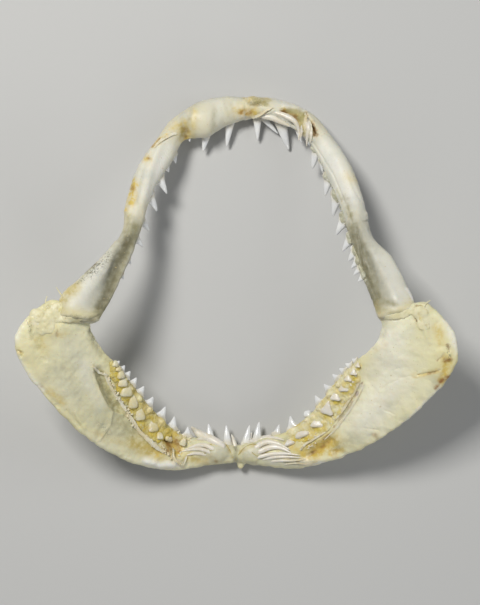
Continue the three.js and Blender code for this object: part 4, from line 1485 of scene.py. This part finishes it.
for key, band in gumBands.items():
    parts = [gumLoft(halfJaws[key], band)]
    tips = []
    paintedValleyShades = list(band["paintedValleyShades"])
    # Painted shadow on the gum just below each waiting tooth's root.
    for x, y, wide, *_ in waitingRows.get(key, ()):
        paintedValleyShades.append(([(x - 1, y + 2.4), (x + 1.5, y + 2)], wide * 0.42, 0.85))
    start, *_, end = band["shares"]
    for share, _, _, wide, *_ in halfJaws[key]["teeth"]:
        if start < share < end:
            bar = barFrame(halfJaws[key], share)
            place = tonguePoint(bar, gumShape["footShare"], band["swell"] - gumShape["footSunk"]) * mm
            heading = math.atan2(bar["toJoint"][1], bar["toJoint"][0])
            rise = 0.6 + 0.6 * band["swell"]
            parts.append(ellipsoid(place, (wide * 0.5 * mm, wide * 0.3 * mm, rise * mm), heading))
            if key.startswith("lower"):
                tips.append(([tuple(toPhoto(place[None])[0])], wide * 0.5, 0.55))
    gum = joinPieces("gumBand" + key[0].upper() + key[1:], parts)
    melt(gum, gumShape["voxel"], gumShape["smoothing"])
    for lumps in gumShape["lumps"]:
        roughen(gum, *lumps)
    paint(gum, "height", tips)
    # Painted shade in the valleys and under the waiting teeth.
    paint(gum, "paintedValleyShade", paintedValleyShades)
    paint(gum, "hollow", band["hollows"])
    smoothShade(gum, 80)
    dress(gum, band["look"], "gum")
print("gum set")

# Torn strips of gum membrane: jaw, path, widths in mm, lifts in mm, curl.
strips = {
    "leftTornStrip": (
        "lower", [(104, 372), (109, 382), (114, 392), (120.2, 401), (124.5, 410), (128.5, 417)],
        (1.4, 2.4, 2, 2.6, 1.8), (0.5, 1.1, 1.3, 1.2, 0.6), 0.5,
    ),
    "leftGumStrip": (
        "lower", [(126, 413), (131, 420), (137.4, 430.4), (147, 440), (156, 447.5), (164, 452)],
        (2.2, 3.4, 3, 3.2, 2.2), (0.8, 1.5, 1.4, 1.4, 0.6), 0.5,
    ),
    "leftTornTop": (
        "lower", [(92, 366), (97.5, 371), (102, 372.5), (108, 375)], (1.4, 2.2, 1.8, 1.4),
        (0.5, 0.9, 0.9, 0.5), 0.4,
    ),
    "leftCurl": (
        "lower", [(172, 448), (171.4, 455), (175.7, 462), (181.5, 462), (186, 456)],
        (1.6, 2.2, 2.4, 2.2, 1.4), (0.6, 2, 2.4, 2, 0.6), 0.8,
    ),
    "rightStripInner": (
        "lower", [(360.5, 379), (356, 390), (349, 402), (341.5, 413), (333, 423)], (1, 1.6, 2.2, 2, 1),
        (0.3, 0.6, 0.7, 0.6, 0.3), 0.25,
    ),
    "rightStripOuter": (
        "lower", [(364.5, 384), (360, 395), (352.5, 407), (344, 419), (334, 431), (324, 440)],
        (0.8, 1.1, 1.5, 1.7, 1.6, 1), (0.1, 0.3, 0.4, 0.4, 0.3, 0.1), 0.2,
    ),
    "rightTornLip": (
        "lower", [(327, 432), (316, 439), (307, 444.5), (300, 450)], (1.2, 1.8, 1.8, 1.2), (0.5, 1, 1, 0.5),
        0.4,
    ),
    "rightWrinkleOne": (
        "lower", [(276, 460), (287, 458.5), (297, 460), (306, 459)], (0.9, 1.3, 1.3, 0.8),
        (0.3, 0.9, 0.9, 0.3), 0.3,
    ),
    "rightWrinkleTwo": (
        "lower", [(284, 464), (296, 462.5), (308, 463), (318, 461)], (0.9, 1.4, 1.4, 0.8),
        (0.3, 0.8, 0.8, 0.3), 0.3,
    ),
    "upperCurl": (
        "upper", [(254, 117), (262, 115.2), (268.5, 111.6), (274, 108.4)], (1.2, 2.4, 2.4, 1),
        (0.3, 1.4, 1.5, 0.4), 0.7,
    ),
    "upperTornOne": (
        "upper", [(304.6, 113), (306.5, 120), (308, 128), (307.5, 137)], (1.6, 2.8, 2.8, 1.6),
        (0.4, 0.9, 1, 0.5), 0.5,
    ),
    "upperTornTwo": (
        "upper", [(308.4, 119), (310.6, 127), (311, 134), (311.5, 141)], (1.2, 2, 2, 1.2),
        (0.3, 0.8, 0.9, 0.4), 0.4,
    ),
    "leftMembrane": (
        "upper", [(177, 133), (169, 136), (161, 141), (154, 148)], (1.8, 2.6, 2.6, 1.8),
        (0.2, 0.7, 0.7, 0.2), 0.3,
    ),
}
for name, (jaw, path, widths, lifts, curl) in strips.items():
    dress(ribbon(name, jaw, path, widths, lifts, curl), "thinMembrane", "gum")
print("membrane strips set")

# Crumbs of curled membrane lie along the torn edges of the gum.
# Each edge is its path, how many crumbs, their spread in pixels and their size in mm.
crumbEdges = [
    (
        [(108, 376), (114, 389), (121, 402), (127, 412), (133, 424), (143, 436), (156, 447), (168, 453)],
        60, 2.2, 1.2,
    ),
    ([(162, 446), (168, 455), (180, 456)], 16, 2.4, 1),
    ([(356, 376), (346, 396), (338, 411), (326, 428), (308, 440)], 30, 2.6, 0.9),
    ([(176, 431), (184, 437), (190, 443)], 10, 2.4, 1), ([(296, 436), (306, 446), (318, 438)], 10, 3, 0.9),
]
crumbShape = {"voxel": 0.0003, "smoothing": 7, "lumps": (0.002, 0.00012, 51)}
crumbs = []
for path, many, spread, size in crumbEdges:
    for i in range(many):
        spot = alongCurve([(x, y, 0) for x, y in path], (i + 0.5) / many)
        x = spot[0] + chance.gauss(0, spread / 2)
        y = spot[1] + chance.gauss(0, spread / 2)
        place, _ = onJaw("lower", (x, y), chance.uniform(0.3, 1.1))
        radii = [size * mm * chance.uniform(0.45, 1) for _ in range(3)]
        crumbs.append(ellipsoid(place, (radii[0] * 1.5, radii[1], radii[2] * 0.8), chance.uniform(0, 3.1)))
crumbPiece = joinPieces("gumCrumbs", crumbs)
melt(crumbPiece, crumbShape["voxel"], crumbShape["smoothing"])
roughen(crumbPiece, *crumbShape["lumps"])
smoothShade(crumbPiece, 80)
dress(crumbPiece, "thinMembrane", "gum")
print("crumbs set")

# Dried tissue of the jaw joints: a skirt from the upper jaw down to the lower one, with lumps beside it.
jointTissue = {
    "Left": {
        "node": "joint_capsule_left",
        "upperSide": [(59, 311), (66, 315.5), (76, 317.4), (87, 317), (95, 315.5), (99.5, 312.5)],
        "lowerSide": [(53, 320.5), (62, 323), (74, 323.2), (86, 322.8), (95, 322), (100.5, 320)],
        "lumps": [
            (38, 317, 5.5), (42, 323, 6.5), (47, 327, 5), (40, 329, 4.5), (50, 316, 5.5), (56, 309, 5),
        ],
    },
    "Right": {
        "node": "joint_capsule_right",
        "upperSide": [(378.5, 311.5), (384, 314), (391, 314.2), (399, 311.6), (406, 308), (411.5, 303)],
        "lowerSide": [(381, 320), (386, 320.8), (394, 321), (403, 319), (411, 315.5), (418, 310)],
        "lumps": [(421, 313, 5), (425, 319, 5), (423, 325, 4)],
    },
}
skirtShape = {
    "rings": 50,
    "sides": 14,
    "thick": 0.00062,
    "voxel": 0.0005,
    "smoothing": 30,
    "lumps": [(0.013, 0.0003, 31), (0.004, 0.00008, 32)],
}


def skirtLoft(tops, feet):
    # Each ring is a thin upright loop from the upper jaw to the lower one, its height and thickness uneven.
    turns = [2 * math.pi * i / skirtShape["sides"] for i in range(skirtShape["sides"])]
    rings = []
    for s in range(skirtShape["rings"]):
        share = s / (skirtShape["rings"] - 1)
        top = alongCurve(tops, share)
        foot = alongCurve(feet, share)
        middle = (top + foot) / 2
        long = (top - foot) / 2 * (1.04 + 0.1 * math.sin(s * 1.3) + 0.07 * math.sin(s * 2.9))
        along = unit(alongCurve(feet, min(share + 0.03, 1)) - alongCurve(feet, max(share - 0.03, 0)))
        out = np.cross(unit(long), along) * (skirtShape["thick"] + 0.0001 * math.sin(s * 0.9))
        rings.append([middle + long * math.cos(t) + out * math.sin(t) for t in turns])
    return loftRings("skirt", rings)


for side, tissue in jointTissue.items():
    tops = [onJaw("upper", spot, -0.3)[0] for spot in tissue["upperSide"]]
    feet = [onJaw("lower", spot, 0.1)[0] for spot in tissue["lowerSide"]]
    parts = [skirtLoft(tops, feet)]
    for x, y, radius in tissue["lumps"]:
        place, _ = onJaw("lower", (x, y), -0.3 * radius)
        size = radius * mm
        parts.append(ellipsoid(place, (size * 1.35, size * 1.1, size * 0.4), chance.uniform(0, 3)))
    capsule = joinPieces("jointTissue" + side, parts)
    melt(capsule, skirtShape["voxel"], skirtShape["smoothing"])
    for lumps in skirtShape["lumps"]:
        roughen(capsule, *lumps)
    smoothShade(capsule, 80)
    dress(capsule, "jointLigament", "ligament", tissue["node"])
fibres = [
    strand("fibre", "upper", [(63, 297), (60.5, 293), (57.6, 288.3)], 0.7, (0, 1, 1.5)),
    strand("fibre", "lower", [(48, 306), (46, 302), (47.6, 297)], 0.8, (0, 0.6, 1)),
    strand("fibre", "lower", [(424, 307), (426, 304), (429.6, 301.6)], 0.9, (0.1, 0.6, 1.2)),
]
fibrePiece = joinPieces("jointFibres", fibres)
smoothShade(fibrePiece, 70)
dress(fibrePiece, "jointLigament", "ligament")
print("joint tissue set")

# Stage: pale floor, soft studio light, camera.
floorLook = {"colour": (0.5, 0.5, 0.49, 1), "roughness": 0.8, "size": 6}
# Each light's place, size, power and colour.
lights = {
    "keyLight": ((-0.5, 0.6, 1.35), 0.4, 21, (1, 0.985, 0.95)),
    "fillLight": ((1.2, 0.2, 0.7), 0.9, 4, (0.95, 0.98, 1)),
    "rimLight": ((0.3, -1.2, 0.6), 0.6, 3.5, (1, 1, 1)),
}
skyLook = {"Color": (0.9, 0.93, 1, 1), "Strength": 0.16}


def makeStage():
    nothingSelected()
    bpy.ops.mesh.primitive_plane_add(size=floorLook["size"])
    floor = bpy.context.active_object
    floor.name = "floor"
    surface = {"Base Color": floorLook["colour"], "Roughness": floorLook["roughness"]}
    floor.data.materials.append(newMaterial("paleFloor", surface)[0])


def makeLight(name, place, size, power, colour):
    data = bpy.data.lights.new(name, "AREA")
    data.shape = "SQUARE"
    data.size = size
    data.energy = power
    data.color = colour
    lamp = bpy.data.objects.new(name, data)
    bpy.context.scene.collection.objects.link(lamp)
    lamp.location = place
    lamp.rotation_euler = (-Vector(place)).to_track_quat("-Z", "Y").to_euler()


makeStage()
for name, light in lights.items():
    makeLight(name, *light)
world = bpy.data.worlds.new("studio")
world.use_nodes = True
for key, value in skyLook.items():
    world.node_tree.nodes["Background"].inputs[key].default_value = value
bpy.context.scene.world = world
bpy.context.scene.view_settings.view_transform = "Standard"

cameraData = bpy.data.cameras.new("camera")
cameraData.lens = cameraView["lens"]
cameraData.sensor_fit = "AUTO"
cameraData.sensor_width = cameraView["sensor"]
camera = bpy.data.objects.new("camera", cameraData)
bpy.context.scene.collection.objects.link(camera)
camera.location = cameraView["place"]
camera.rotation_euler = (0, 0, 0)
bpy.context.scene.camera = camera
for master in toothMasters.values():
    bpy.data.objects.remove(master)
print("stage set")
